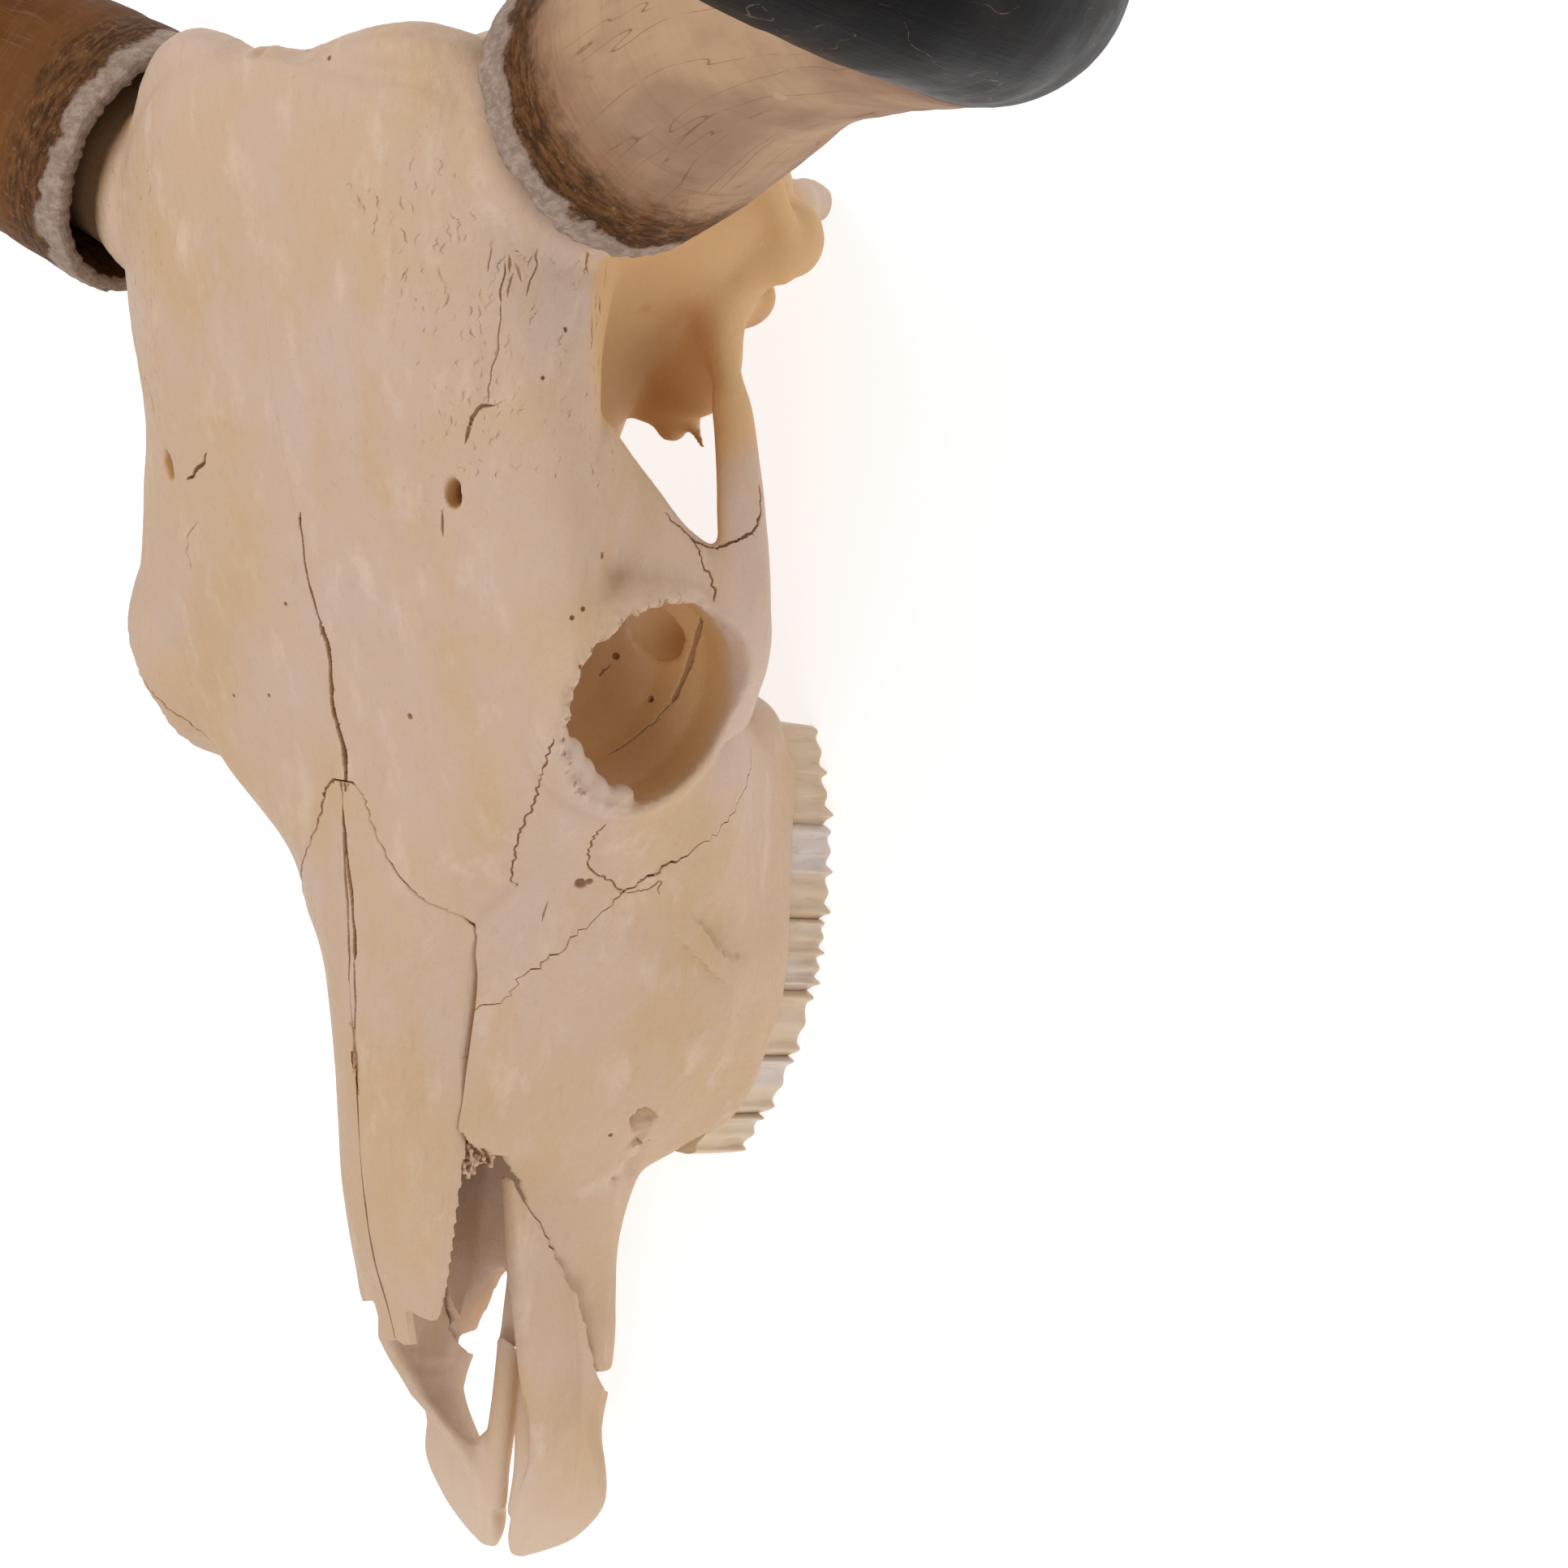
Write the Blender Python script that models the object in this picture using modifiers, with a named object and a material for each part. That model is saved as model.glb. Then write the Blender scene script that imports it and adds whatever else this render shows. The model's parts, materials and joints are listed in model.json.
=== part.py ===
"""Longhorn cattle skull: cranium, upper jaws with cheek teeth, nasal and incisive bones, two horns.

The skull lies as it rests on a table, on its cheek teeth and on the two pointed processes beside
the neck joint. X is to the animal's left, Y runs from the muzzle to the back, Z is up.
Sizes are in millimetres, with Y counted from the muzzle's tip; to_world() turns them into metres
about the middle of the object's footprint.
"""
import bpy
import bmesh
import math
from mathutils import Vector

MM = 0.001
MIDDLE_Y = 262.5
GAP = 0.3
HALF_GAP = GAP / 2
VOXEL = 1.8
INCISIVE_VOXEL = 1.2
BODY_FACES = 9000
INCISIVE_FACES = 560
FAR = 900.0
SHARP_ANGLE = math.radians(40)

# Half sections of the face: each station along Y has ten (x, z) points, from the top of the
# midline over the roof's edge, the cheek and the tooth ridge to the middle of the palate.
FACE_SECTIONS = {
    60: ((0, 44), (8, 48), (15, 52), (24, 50), (31, 46), (36, 42),
          (38, 37), (34, 31), (18, 30), (0, 31)),
    92: ((0, 62), (10, 66), (20, 70), (27, 64), (31, 54), (34, 46),
          (35.5, 40), (31, 34), (18, 32), (0, 33)),
    124: ((0, 90), (12, 90), (23, 88), (31.5, 77), (40, 66), (45.5, 56),
          (44, 47), (35, 40), (24, 31), (0, 33)),
    140: ((0, 135), (14, 131), (26, 117), (34, 100), (44, 79), (50.5, 60),
          (50, 45), (51, 32), (39, 26), (0, 32)),
    156: ((0, 141), (15, 136.5), (28, 120), (42, 99), (54, 79), (62, 58),
          (65, 41), (68, 24), (48, 22), (0, 31)),
    188: ((0, 149.5), (18, 142.5), (32, 125), (46, 110), (61, 90), (77, 66),
          (82, 48), (77, 22), (50, 21), (0, 30)),
    206: ((0, 154), (20, 149), (37, 134), (50, 119), (65, 99), (81, 74),
          (87, 52), (78, 22), (52, 21), (0, 30)),
    225: ((0, 158.5), (24, 155), (43, 139.5), (58, 121), (73, 99), (86, 75),
          (84, 50), (77, 22), (53, 21), (0, 30)),
    252: ((0, 165), (35, 161.5), (64, 154), (80, 136), (89, 106), (93, 82),
          (84, 55), (74, 22), (52, 21), (0, 31)),
    276: ((0, 172), (45, 171), (78, 164), (90, 150), (94, 112), (94, 84),
          (80, 52), (69, 22), (50, 21), (0, 40)),
    294: ((0, 179), (50, 179), (84, 174), (95, 162), (88, 112), (84, 84),
          (70, 62), (58, 40), (44, 40), (0, 60)),
}
# Half sections of the braincase: roof, the frontal's overhanging edge, temple wall and base.
BRAIN_SECTIONS = {
    290: ((0, 177), (50, 177), (86, 172), (94, 160), (76, 142), (44, 118),
          (34, 95), (24, 78), (14, 70), (0, 68)),
    330: ((0, 198), (52, 195), (88.5, 181), (96.5, 167), (82, 151), (46, 132),
          (36, 104), (22, 80), (12, 71), (0, 69)),
    360: ((0, 212), (50, 208), (85, 189), (93, 172.5), (84, 158), (52, 140),
          (43, 110), (22, 80), (12, 69), (0, 67)),
    390: ((0, 223), (50, 219), (82, 203), (93, 179), (82, 160), (58, 140),
          (54, 110), (32, 80), (16, 65), (0, 62)),
    415: ((0, 231), (50, 228), (82, 213), (94, 189), (86, 164), (69, 140),
          (72, 108), (46, 76), (20, 58), (0, 55)),
    440: ((0, 238), (50, 236), (82, 223), (94, 197), (88, 166), (86, 138),
          (93, 104), (60, 66), (22, 52), (0, 50)),
    460: ((0, 242), (48, 240), (76, 229), (88, 198), (86, 164), (92, 128),
          (98, 98), (64, 62), (24, 48), (0, 48)),
    471: ((0, 243), (44, 236), (66, 226), (76, 198), (76, 162), (78, 128),
          (84, 98), (52, 66), (22, 54), (0, 54)),
}
SECTION_STEPS = 4
# Nasal roof: Y station, half width, height of the middle, fall to the edge, thickness.
NASAL_STATIONS = (
    (66, 3.0, 105.0, 1.0, 4.5),
    (78, 15.0, 111.0, 3.5, 5.0),
    (97, 20.5, 122.5, 11.0, 5.5),
    (120, 24.3, 131.5, 15.5, 6.0),
    (145, 26.5, 138.5, 19.5, 7.0),
    (168, 29.0, 144.5, 22.5, 8.0),
    (188, 32.0, 150.0, 24.0, 9.0),
    (201, 35.5, 153.0, 21.0, 10.0),
    (212, 38.0, 155.0, 17.0, 10.0),
    (217, 31.0, 156.5, 10.5, 10.0),
    (224, 22.5, 158.5, 5.5, 10.0),
    (240, 12.0, 162.0, 1.5, 10.0),
    (253, 4.5, 165.0, 0.5, 10.0),
)
SEAT_RISE = 25.0
# Nasal cavity: Y station, half width, floor and ceiling.
CAVITY_STATIONS = (
    (40, 14.0, 38.0, 130.0),
    (70, 20.0, 37.5, 130.0),
    (95, 21.0, 38.0, 130.0),
    (124, 26.0, 39.0, 128.0),
    (145, 30.0, 42.0, 126.0),
    (172, 24.0, 50.0, 118.0),
)
# Incisive bone: Y station, inner x, outer x, top z inside, top z outside and bottom z.
INCISIVE_STATIONS = (
    (-9.6, 3.5, 9.5, 40.0, 39.0, 36.0),
    (-5, 2.0, 19.0, 41.0, 38.8, 34.0),
    (2, 2.0, 29.0, 42.0, 38.0, 32.5),
    (14, 3.5, 39.0, 44.0, 38.5, 32.0),
    (26, 6.0, 40.5, 47.0, 39.0, 32.0),
    (40, 11.5, 37.0, 53.0, 42.0, 31.5),
    (60, 21.0, 38.0, 69.0, 48.0, 31.0),
    (80, 21.5, 37.0, 76.0, 56.0, 36.0),
    (100, 22.0, 35.5, 82.0, 64.0, 46.0),
    (128, 24.0, 31.0, 90.0, 82.0, 70.0),
)
# How far the right side of the muzzle stands further out and up than the left one: Y and distance.
RIGHT_FLARE = ((-12, 1.0), (2, 1.5), (14, 2.2), (26, 3.4), (33, 6.2), (40, 8.6), (60, 8.6),
               (90, 4.0), (124, 0.0))
INCISIVE_FLARE_ACROSS = (6.0, 13.0)
JAW_FLARE_ACROSS = (12.5, 21.0)
# Line of the suture between incisive and upper jaw, seen from the side, as (y, z).
INCISIVE_SUTURE = ((46, 10), (51, 28), (59, 41), (95, 62), (118, 75), (130, 84), (136, 98))
# Line between the upper jaws and the cranium, seen from the side, as (y, z).
JAW_SUTURE = ((305, 5), (300, 34), (288, 56), (266, 74), (246, 92), (236, 101), (227, 105), (217, 109),
              (205, 114),
              (196, 118), (186, 121), (172, 160))
PALATINE_BAR = ((3.6, 4, 39.5), (4.2, 40, 39), (5.0, 84, 38))
PALATINE_BAR_RADII = (3.0, 3.0, 3.4)
# Plan view of the gap beside the palate's front, and the heights between which it is open.
PALATE_FISSURE = ((11.5, 30), (11.5, 84), (14.5, 87.5), (20, 84), (24, 72), (25, 60), (25, 30))
FISSURE_HEIGHTS = (20, 46)
# Orbit: middle of its rim, the way it looks, and radii of its outer wall and of the socket.
ORBIT_RIM = Vector((98.5, 290, 136))
ORBIT_LOOKS = Vector((0.964, -0.238, 0.116)).normalized()
ORBIT_WALL = ((1.0, 38.5), (-7.0, 40.5), (-24.0, 38.5), (-48.0, 34.0))
ORBIT_SOCKET = ((14.0, 36.5), (0.0, 33.5), (-14.0, 34.5), (-32.0, 30.0), (-44.0, 21.0), (-52.0, 9.0))
# Opening from the back of the orbit into the temple.
ORBIT_WINDOW = ((74, 316, 104), (11, 12, 12))
# Cheek bone and zygomatic arch: points, half heights and half widths.
ARCH_PATH = ((92, 284, 95), (105.3, 306, 105), (110.5, 326, 112), (106.3, 351, 112), (97.2, 380, 110),
             (86.8, 404, 108),
             (81, 424, 104))
ARCH_HEIGHTS = (14, 13, 11, 10, 8.5, 8.5, 10)
ARCH_WIDTHS = (8, 7.6, 7.6, 6.6, 5.6, 5.0, 8)
# Where the arch joins the temple, and the thin process before it.
ARCH_FOOT = ((78, 398, 104), (79, 411, 100), (84, 423, 97), (92, 436, 98))
ARCH_FOOT_HEIGHTS = (6, 7, 7, 7)
ARCH_FOOT_WIDTHS = (5, 5, 6, 6)
FOSSA_SPIKE = ((60, 388, 90), (66, 379, 90), (71, 372, 90))
FOSSA_SPIKE_RADII = (4.5, 2.8, 1.2)
# Bar between the roof's edge and the cheek bone, behind the orbit.
ORBIT_BAR = ((86, 353, 172), (91, 344, 152), (99, 337, 138), (104, 331, 124), (107, 328, 112))
ORBIT_BAR_HEIGHTS = (25, 18, 11.5, 11, 12)
ORBIT_BAR_WIDTHS = (7, 5.5, 5, 5, 5)
# The right orbit's upper rim stands out a little further: centre, radius, way and distance.
RIM_BULGE = ((-99, 303, 164), 36.0, (-0.77, 0.0, 0.63), 3.2)
CHEEK_RIDGE = ((80, 248, 108), (74, 228, 90), (79, 206, 58), (72, 180, 50), (58, 164, 46))
CHEEK_RIDGE_RADII = (5, 5, 6.5, 6, 5)
# Temple, jaw joint and neck end: (x, y, z) and radii of rounded masses, left side.
ROUND_MASSES = {
    "jaw_joint": ((51, 398, 94), (20, 19, 9)),
    "joint_shelf": ((69, 400, 98), (20, 20, 10)),
    "mastoid": ((94, 442, 91), (11, 13, 14)),
    "ear_bone": ((68, 424, 84), (17, 12, 12)),
    "bulla": ((37, 412, 56), (9, 17, 15)),
    "condyle": ((25, 472, 56), (17, 14, 22)),
    "orbit_back": ((54, 312, 98), (25, 27, 26)),
    "fossa_plate": ((56, 379, 90), (6, 5, 5)),
    "maxillary_tuber": ((60, 280, 46), (17, 17, 22)),
}
NECK_CREST = ((84, 462, 190), (90, 462, 155), (97, 460, 120), (100, 449, 106), (99, 438, 96), (92, 428, 92))
NECK_CREST_RADII = (9, 8, 7, 5, 4.5, 5)
POLL_RIDGE = ((0, 468, 235), (14, 468, 230), (34, 472, 231), (54, 474, 228), (72, 468, 216))
POLL_RIDGE_RADII = (9, 8, 9, 11, 14)
NECK_PROCESS = ((60, 452, 66), (56, 458, 42), (45, 464, 20), (34.5, 467, -4))
NECK_PROCESS_RADII = (15, 11, 8.5, 6)
BASE_BAR = ((0, 462, 60), (0, 400, 66), (0, 330, 74), (0, 292, 84))
BASE_BAR_RADII = (13, 12, 10, 10)
PTERYGOID_PLATE = ((27, 262, 34), (25, 300, 50), (23, 340, 62))
PTERYGOID_HEIGHTS = (12, 20, 9)
PTERYGOID_WIDTH = 3.2
FORAMEN_CENTRE = (0, 476, 84)
FORAMEN_RADII = (19, 30, 16)
CHOANA_CENTRE = (0, 280, 54)
CHOANA_RADII = (19, 42, 15)
# Cheek teeth, left row, front to back: name, Y start, Y end, cheek side x at both ends, width.
TEETH = (
    ("P2", 138.5, 153.0, 55.0, 63.0, 14.0),
    ("P3", 153.6, 174.0, 63.0, 70.5, 17.0),
    ("P4", 174.6, 197.0, 70.5, 74.5, 19.0),
    ("M1", 197.6, 221.5, 74.5, 75.5, 21.0),
    ("M2", 222.1, 253.5, 75.5, 73.0, 22.0),
    ("M3", 254.1, 286.5, 73.0, 62.5, 21.0),
)
CROWN_BOTTOMS = {"P2": 4.0, "P3": 1.5, "P4": 0.6, "M1": 0.0, "M2": 0.0, "M3": 0.6}
TOOTH_ROOT_Z = 34.0
# Left horn: points of its middle line from the open rim to the tip, and its radii.
HORN_PATH = ((99, 462.3, 194.9), (121.5, 470.6, 199.0), (145, 479.5, 207), (188, 491.5, 227), (234, 493, 248),
             (277, 488, 273.5), (312, 480, 308), (336, 472, 350), (347, 467, 398), (346, 468, 448),
             (339, 473, 497), (328, 483, 543), (315, 497, 586), (303, 513, 625), (296, 526, 652))
HORN_RADII = (46.0, 45.0, 44.0, 41.0, 38.7, 36.4, 34.2, 32.0, 29.8, 26.8, 23.0, 18.6, 13.6, 8.2, 2.6)
HORN_SIDES = 24
RIGHT_HORN_SHIFT = Vector((0.0, -18.0, -9.8))
SHEATH_WALL = 6.5
CAVITY_DEPTH = 62.0
CORE_START = 34.0
CORE_RADII = (38.5, 37.5, 34.0, 29.0)
HORN_BASE = ((-60.0, 38.0), (-30.0, 40.0), (-1.0, 38.5))
# The right horn sits lower and further forward, and the bone round it goes along with it.
SHIFT_ACROSS = (35.0, 80.0)
SHIFT_ALONG = (385.0, 445.0)
SHIFT_UP = (110.0, 165.0)

BONE = (0.80, 0.70, 0.56)
BONE_PALE = (0.83, 0.74, 0.62)
HORN_BROWN = (0.30, 0.20, 0.12)
BONE_ROUGHNESS = 0.55
HORN_ROUGHNESS = 0.42


def to_world(point):
    """Millimetres from the muzzle's tip to metres about the middle of the footprint."""
    return Vector((point[0] * MM, (point[1] - MIDDLE_Y) * MM, point[2] * MM))


def clear_scene():
    for old in list(bpy.data.objects):
        bpy.data.objects.remove(old, do_unlink=True)


def collection(name):
    group = bpy.data.collections.new(name)
    bpy.context.scene.collection.children.link(group)
    return group


def material(name, colour, roughness):
    mat = bpy.data.materials.new(name)
    mat.use_nodes = True
    shader = mat.node_tree.nodes["Principled BSDF"]
    shader.inputs["Base Color"].default_value = (*colour, 1.0)
    shader.inputs["Roughness"].default_value = roughness
    shader.inputs["Metallic"].default_value = 0.0
    return mat


def mesh_object(name, bm, group):
    bmesh.ops.recalc_face_normals(bm, faces=bm.faces)
    mesh = bpy.data.meshes.new(name)
    bm.to_mesh(mesh)
    bm.free()
    piece = bpy.data.objects.new(name, mesh)
    group.objects.link(piece)
    return piece


def spline(values, t):
    """Point at parameter t on a Catmull-Rom curve through equal steps of values."""
    last = len(values) - 1
    k = min(int(t), last - 1)
    f = t - k
    p1 = Vector(values[k])
    p2 = Vector(values[k + 1])
    p0 = Vector(values[k - 1]) if k > 0 else p1 * 2 - p2
    p3 = Vector(values[k + 2]) if k + 2 <= last else p2 * 2 - p1
    return 0.5 * (2 * p1 + (p2 - p0) * f + (2 * p0 - 5 * p1 + 4 * p2 - p3) * f * f
                  + (3 * p1 - p0 - 3 * p2 + p3) * f * f * f)


def loft(name, rings, group):
    """Closed body through rings of equal count, with flat ends."""
    bm = bmesh.new()
    loops = [[bm.verts.new(to_world(p)) for p in ring] for ring in rings]
    count = len(loops[0])
    for first, second in zip(loops, loops[1:]):
        for k in range(count):
            n = (k + 1) % count
            bm.faces.new((first[k], first[n], second[n]))
            bm.faces.new((first[k], second[n], second[k]))
    bm.faces.new(loops[0][::-1])
    bm.faces.new(loops[-1])
    return mesh_object(name, bm, group)


def section_loft(name, sections, group):
    """Body through mirrored half sections; the outline and the way along Y are both smoothed."""
    stations = sorted(sections)
    rings = []
    for k in range((len(stations) - 1) * SECTION_STEPS + 1):
        t = k / SECTION_STEPS
        y = spline([(s, 0, 0) for s in stations], t)[0]
        half = []
        for j in range(10):
            half.append(spline([(*sections[s][j], 0) for s in stations], t))
        steps = (len(half) - 1) * SECTION_STEPS
        side = [spline(half, i / SECTION_STEPS) for i in range(steps + 1)]
        ring = [(p[0], y, p[1]) for p in side]
        ring += [(-p[0], y, p[1]) for p in side[-2:0:-1]]
        rings.append(ring)
    return loft(name, rings, group)


def sweep(name, path, heights, widths, group, sides=16, steps=4, up=(0, 0, 1)):
    """Rounded limb along a path, with its own half height and half width at each point."""
    rings = []
    count = (len(path) - 1) * steps
    sizes = [(h, w, 0) for h, w in zip(heights, widths)]
    for k in range(count + 1):
        t = k / steps
        here = spline(path, t)
        ahead = spline(path, min(t + 0.1, len(path) - 1)) - spline(path, max(t - 0.1, 0))
        along = ahead.normalized()
        side = along.cross(Vector(up)).normalized()
        rise = side.cross(along).normalized()
        half_height, half_width, _ = spline(sizes, t)
        ring = []
        for i in range(sides):
            a = 2 * math.pi * i / sides
            ring.append(here + side * half_width * math.cos(a) + rise * half_height * math.sin(a))
        rings.append(ring)
    return loft(name, rings, group)


def ball(name, centre, radii, group):
    bm = bmesh.new()
    bmesh.ops.create_uvsphere(bm, u_segments=24, v_segments=14, radius=1.0)
    for vert in bm.verts:
        vert.co = to_world([c + r * v for c, r, v in zip(centre, radii, vert.co)])
    return mesh_object(name, bm, group)


def mirrored(point):
    return (-point[0], point[1], point[2])


def turned(name, base, axis, profile, group, sides=32):
    """Body turned about an axis through base; profile gives (distance, radius)."""
    side = axis.cross(Vector((0, 0, 1))).normalized()
    rise = side.cross(axis).normalized()
    rings = []
    for distance, radius in profile:
        ring = []
        for i in range(sides):
            a = 2 * math.pi * i / sides
            ring.append(base + axis * distance + (side * math.cos(a) + rise * math.sin(a)) * radius)
        rings.append(ring)
    return loft(name, rings, group)


def boolean(piece, operation, other=None, group=None):
    cut = piece.modifiers.new("join_or_cut", "BOOLEAN")
    cut.operation = operation
    cut.solver = "MANIFOLD"
    if group is not None:
        cut.operand_type = "COLLECTION"
        cut.collection = group
        cut.solver = "EXACT"
        cut.use_self = True
    else:
        cut.object = other
    return cut


def bake(piece):
    """Replace an object's mesh by the result of its modifiers."""
    graph = bpy.context.evaluated_depsgraph_get()
    mesh = bpy.data.meshes.new_from_object(piece.evaluated_get(graph))
    piece.modifiers.clear()
    old = piece.data
    piece.data = mesh
    bpy.data.meshes.remove(old)


def hide_cutter(piece):
    piece.hide_render = True
    piece.display_type = "WIRE"


def keep_largest(piece):
    """Keep only the largest closed surface of a mesh."""
    bm = bmesh.new()
    bm.from_mesh(piece.data)
    bm.verts.ensure_lookup_table()
    seen = set()
    islands = []
    for start in bm.verts:
        if start.index in seen:
            continue
        stack = [start]
        seen.add(start.index)
        island = []
        while stack:
            vert = stack.pop()
            island.append(vert)
            for edge in vert.link_edges:
                other = edge.other_vert(vert)
                if other.index not in seen:
                    seen.add(other.index)
                    stack.append(other)
        islands.append(island)
    islands.sort(key=len)
    for island in islands[:-1]:
        bmesh.ops.delete(bm, geom=island, context="VERTS")
    bm.to_mesh(piece.data)
    bm.free()


def prism(name, outline, half_width, group):
    """Region between an outline in the side view (y, z), carried across the skull along X."""
    rings = [[(x, y, z) for y, z in outline] for x in (-half_width, half_width)]
    return loft(name, rings, group)


def shifted_line(line, offset):
    """A side-view line moved sideways by offset, to its left when walked along."""
    moved = []
    for k, point in enumerate(line):
        before = line[max(k - 1, 0)]
        after = line[min(k + 1, len(line) - 1)]
        along = Vector((after[0] - before[0], after[1] - before[1])).normalized()
        moved.append((point[0] - along.y * offset, point[1] + along.x * offset))
    return moved


def ramp(value, limits):
    """0 below the first limit, 1 above the second, smooth in between."""
    t = min(1.0, max(0.0, (value - limits[0]) / (limits[1] - limits[0])))
    return t * t * (3 - 2 * t)


def bulge_right(piece):
    """Raise the right orbit's upper rim."""
    centre, radius, way, distance = RIM_BULGE
    for vert in piece.data.vertices:
        x, y, z = vert.co / MM
        near = 1 - ramp((Vector((x, y + MIDDLE_Y, z)) - Vector(centre)).length / radius, (0.0, 1.0))
        vert.co += Vector(way) * distance * near * MM


def lean_right(piece):
    """Carry the bone round the right horn's base along with that horn."""
    for vert in piece.data.vertices:
        x, y, z = vert.co / MM
        share = ramp(-x, SHIFT_ACROSS) * ramp(y + MIDDLE_Y, SHIFT_ALONG) * ramp(z, SHIFT_UP)
        vert.co += RIGHT_HORN_SHIFT * share * MM


def flare_right(piece, across):
    """Carry the right side of the muzzle outward and up."""
    for vert in piece.data.vertices:
        x, y, z = vert.co / MM
        y += MIDDLE_Y
        for (y0, f0), (y1, f1) in zip(RIGHT_FLARE, RIGHT_FLARE[1:]):
            if y0 <= y < y1:
                flare = (f0 + (f1 - f0) * (y - y0) / (y1 - y0)) * ramp(-x, across)
                vert.co += Vector((-flare, 0.0, flare)) * MM


def horn_point(point, side):
    """A point of the left horn, or its place on the right horn."""
    if side > 0:
        return Vector(point)
    return Vector(mirrored(point)) + RIGHT_HORN_SHIFT


def build_horn(side, group, cutters):
    """Sheath with its hollow base; the bone core reaches into it."""
    path = [horn_point(p, side) for p in HORN_PATH]
    horn = sweep("horn_left" if side > 0 else "horn_right", path, HORN_RADII, HORN_RADII, group,
                 sides=HORN_SIDES, steps=2, up=(0, 1, 0))
    axis = (path[1] - path[0]).normalized()
    rim = HORN_RADII[0] - SHEATH_WALL
    deep = CORE_RADII[-1] + GAP
    hollow = turned(horn.name + "_hollow", path[0], axis,
                    ((-6, rim + 1), (0, rim), (CAVITY_DEPTH * 0.55, deep + 3), (CAVITY_DEPTH + GAP, deep)),
                    cutters, sides=HORN_SIDES)
    boolean(horn, "DIFFERENCE", hollow)
    bake(horn)
    hide_cutter(hollow)
    return horn


def fit_core(body, side, cutters):
    """Clear the sheath's room out of the bone, then set the horn core into it."""
    tag = "left" if side > 0 else "right"
    path = [horn_point(p, side) for p in HORN_PATH]
    axis = (path[1] - path[0]).normalized()
    start = path[0] - axis * GAP
    radii = [HORN_RADII[0] + GAP] + [r + GAP for r in HORN_RADII[1:4]]
    room = sweep("sheath_room_" + tag, [start] + path[1:4], radii, radii, cutters, sides=HORN_SIDES, steps=2,
                 up=(0, 1, 0))
    core = turned("core_" + tag, path[0], axis, core_profile(), cutters, sides=HORN_SIDES)
    boolean(body, "DIFFERENCE", room)
    boolean(body, "UNION", core)
    hide_cutter(room)
    hide_cutter(core)


def core_profile():
    return ((-CORE_START, CORE_RADII[0]), (-8, CORE_RADII[1]), (10, CORE_RADII[2]),
            (CAVITY_DEPTH * 0.55, CORE_RADII[3] + 1.0), (CAVITY_DEPTH, CORE_RADII[3] - 0.6))


def skull_masses(group):
    """All closed pieces that the bone is fused from."""
    first = section_loft("face", FACE_SECTIONS, group)
    section_loft("braincase", BRAIN_SECTIONS, group)
    for side, tag in ((1, "left"), (-1, "right")):
        flip = (lambda p: p) if side > 0 else mirrored
        rim = Vector(flip(ORBIT_RIM))
        looks = Vector(flip(ORBIT_LOOKS))
        turned("orbit_wall_" + tag, rim, looks, ORBIT_WALL, group)
        sweep("arch_" + tag, [flip(p) for p in ARCH_PATH], ARCH_HEIGHTS, ARCH_WIDTHS, group)
        sweep("orbit_bar_" + tag, [flip(p) for p in ORBIT_BAR], ORBIT_BAR_HEIGHTS, ORBIT_BAR_WIDTHS, group,
              up=(0, 1, 0))
        sweep("arch_foot_" + tag, [flip(p) for p in ARCH_FOOT], ARCH_FOOT_HEIGHTS, ARCH_FOOT_WIDTHS, group)
        spike = [flip(p) for p in FOSSA_SPIKE]
        sweep("fossa_spike_" + tag, spike, FOSSA_SPIKE_RADII, FOSSA_SPIKE_RADII, group)
        ridge = [flip(p) for p in CHEEK_RIDGE]
        sweep("cheek_ridge_" + tag, ridge, CHEEK_RIDGE_RADII, CHEEK_RIDGE_RADII, group)
        base = [Vector(flip(HORN_PATH[0])), Vector(flip(HORN_PATH[1]))]
        turned("horn_base_" + tag, base[0], (base[1] - base[0]).normalized(), HORN_BASE, group)
        for name, (centre, radii) in ROUND_MASSES.items():
            ball(name + "_" + tag, flip(centre), radii, group)
        sweep("neck_crest_" + tag, [flip(p) for p in NECK_CREST], NECK_CREST_RADII, NECK_CREST_RADII, group,
              up=(0, 1, 0))
        sweep("poll_" + tag, [flip(p) for p in POLL_RIDGE], POLL_RIDGE_RADII, POLL_RIDGE_RADII, group)
        sweep("neck_process_" + tag, [flip(p) for p in NECK_PROCESS], NECK_PROCESS_RADII,
              [r * 0.75 for r in NECK_PROCESS_RADII], group, up=(0, 1, 0))
        sweep("pterygoid_" + tag, [flip(p) for p in PTERYGOID_PLATE], PTERYGOID_HEIGHTS,
              [PTERYGOID_WIDTH] * 3, group)
    sweep("base_bar", BASE_BAR, BASE_BAR_RADII, BASE_BAR_RADII, group)
    return first


def skull_cutters(group):
    """Sockets and openings of the skull."""
    cutters = []
    for side, tag in ((1, "left"), (-1, "right")):
        flip = (lambda p: p) if side > 0 else mirrored
        cutters.append(turned("socket_" + tag, Vector(flip(ORBIT_RIM)), Vector(flip(ORBIT_LOOKS)),
                              ORBIT_SOCKET, group))
        centre, radii = ORBIT_WINDOW
        cutters.append(ball("orbit_window_" + tag, flip(centre), radii, group))
        plan = [[(side * x, y, z) for x, y in PALATE_FISSURE] for z in FISSURE_HEIGHTS]
        cutters.append(loft("fissure_" + tag, plan, group))
    cutters.append(ball("foramen_magnum", FORAMEN_CENTRE, FORAMEN_RADII, group))
    cutters.append(ball("choana", CHOANA_CENTRE, CHOANA_RADII, group))
    cutters.append(nasal_cavity("nasal_cavity", group))
    corners = ((-FAR, -FAR), (FAR, -FAR), (FAR, FAR), (-FAR, FAR))
    floor = [[(x, y, z) for x, y in corners] for z in (-FAR, 0.0)]
    cutters.append(loft("floor", floor, group))
    return cutters


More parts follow.
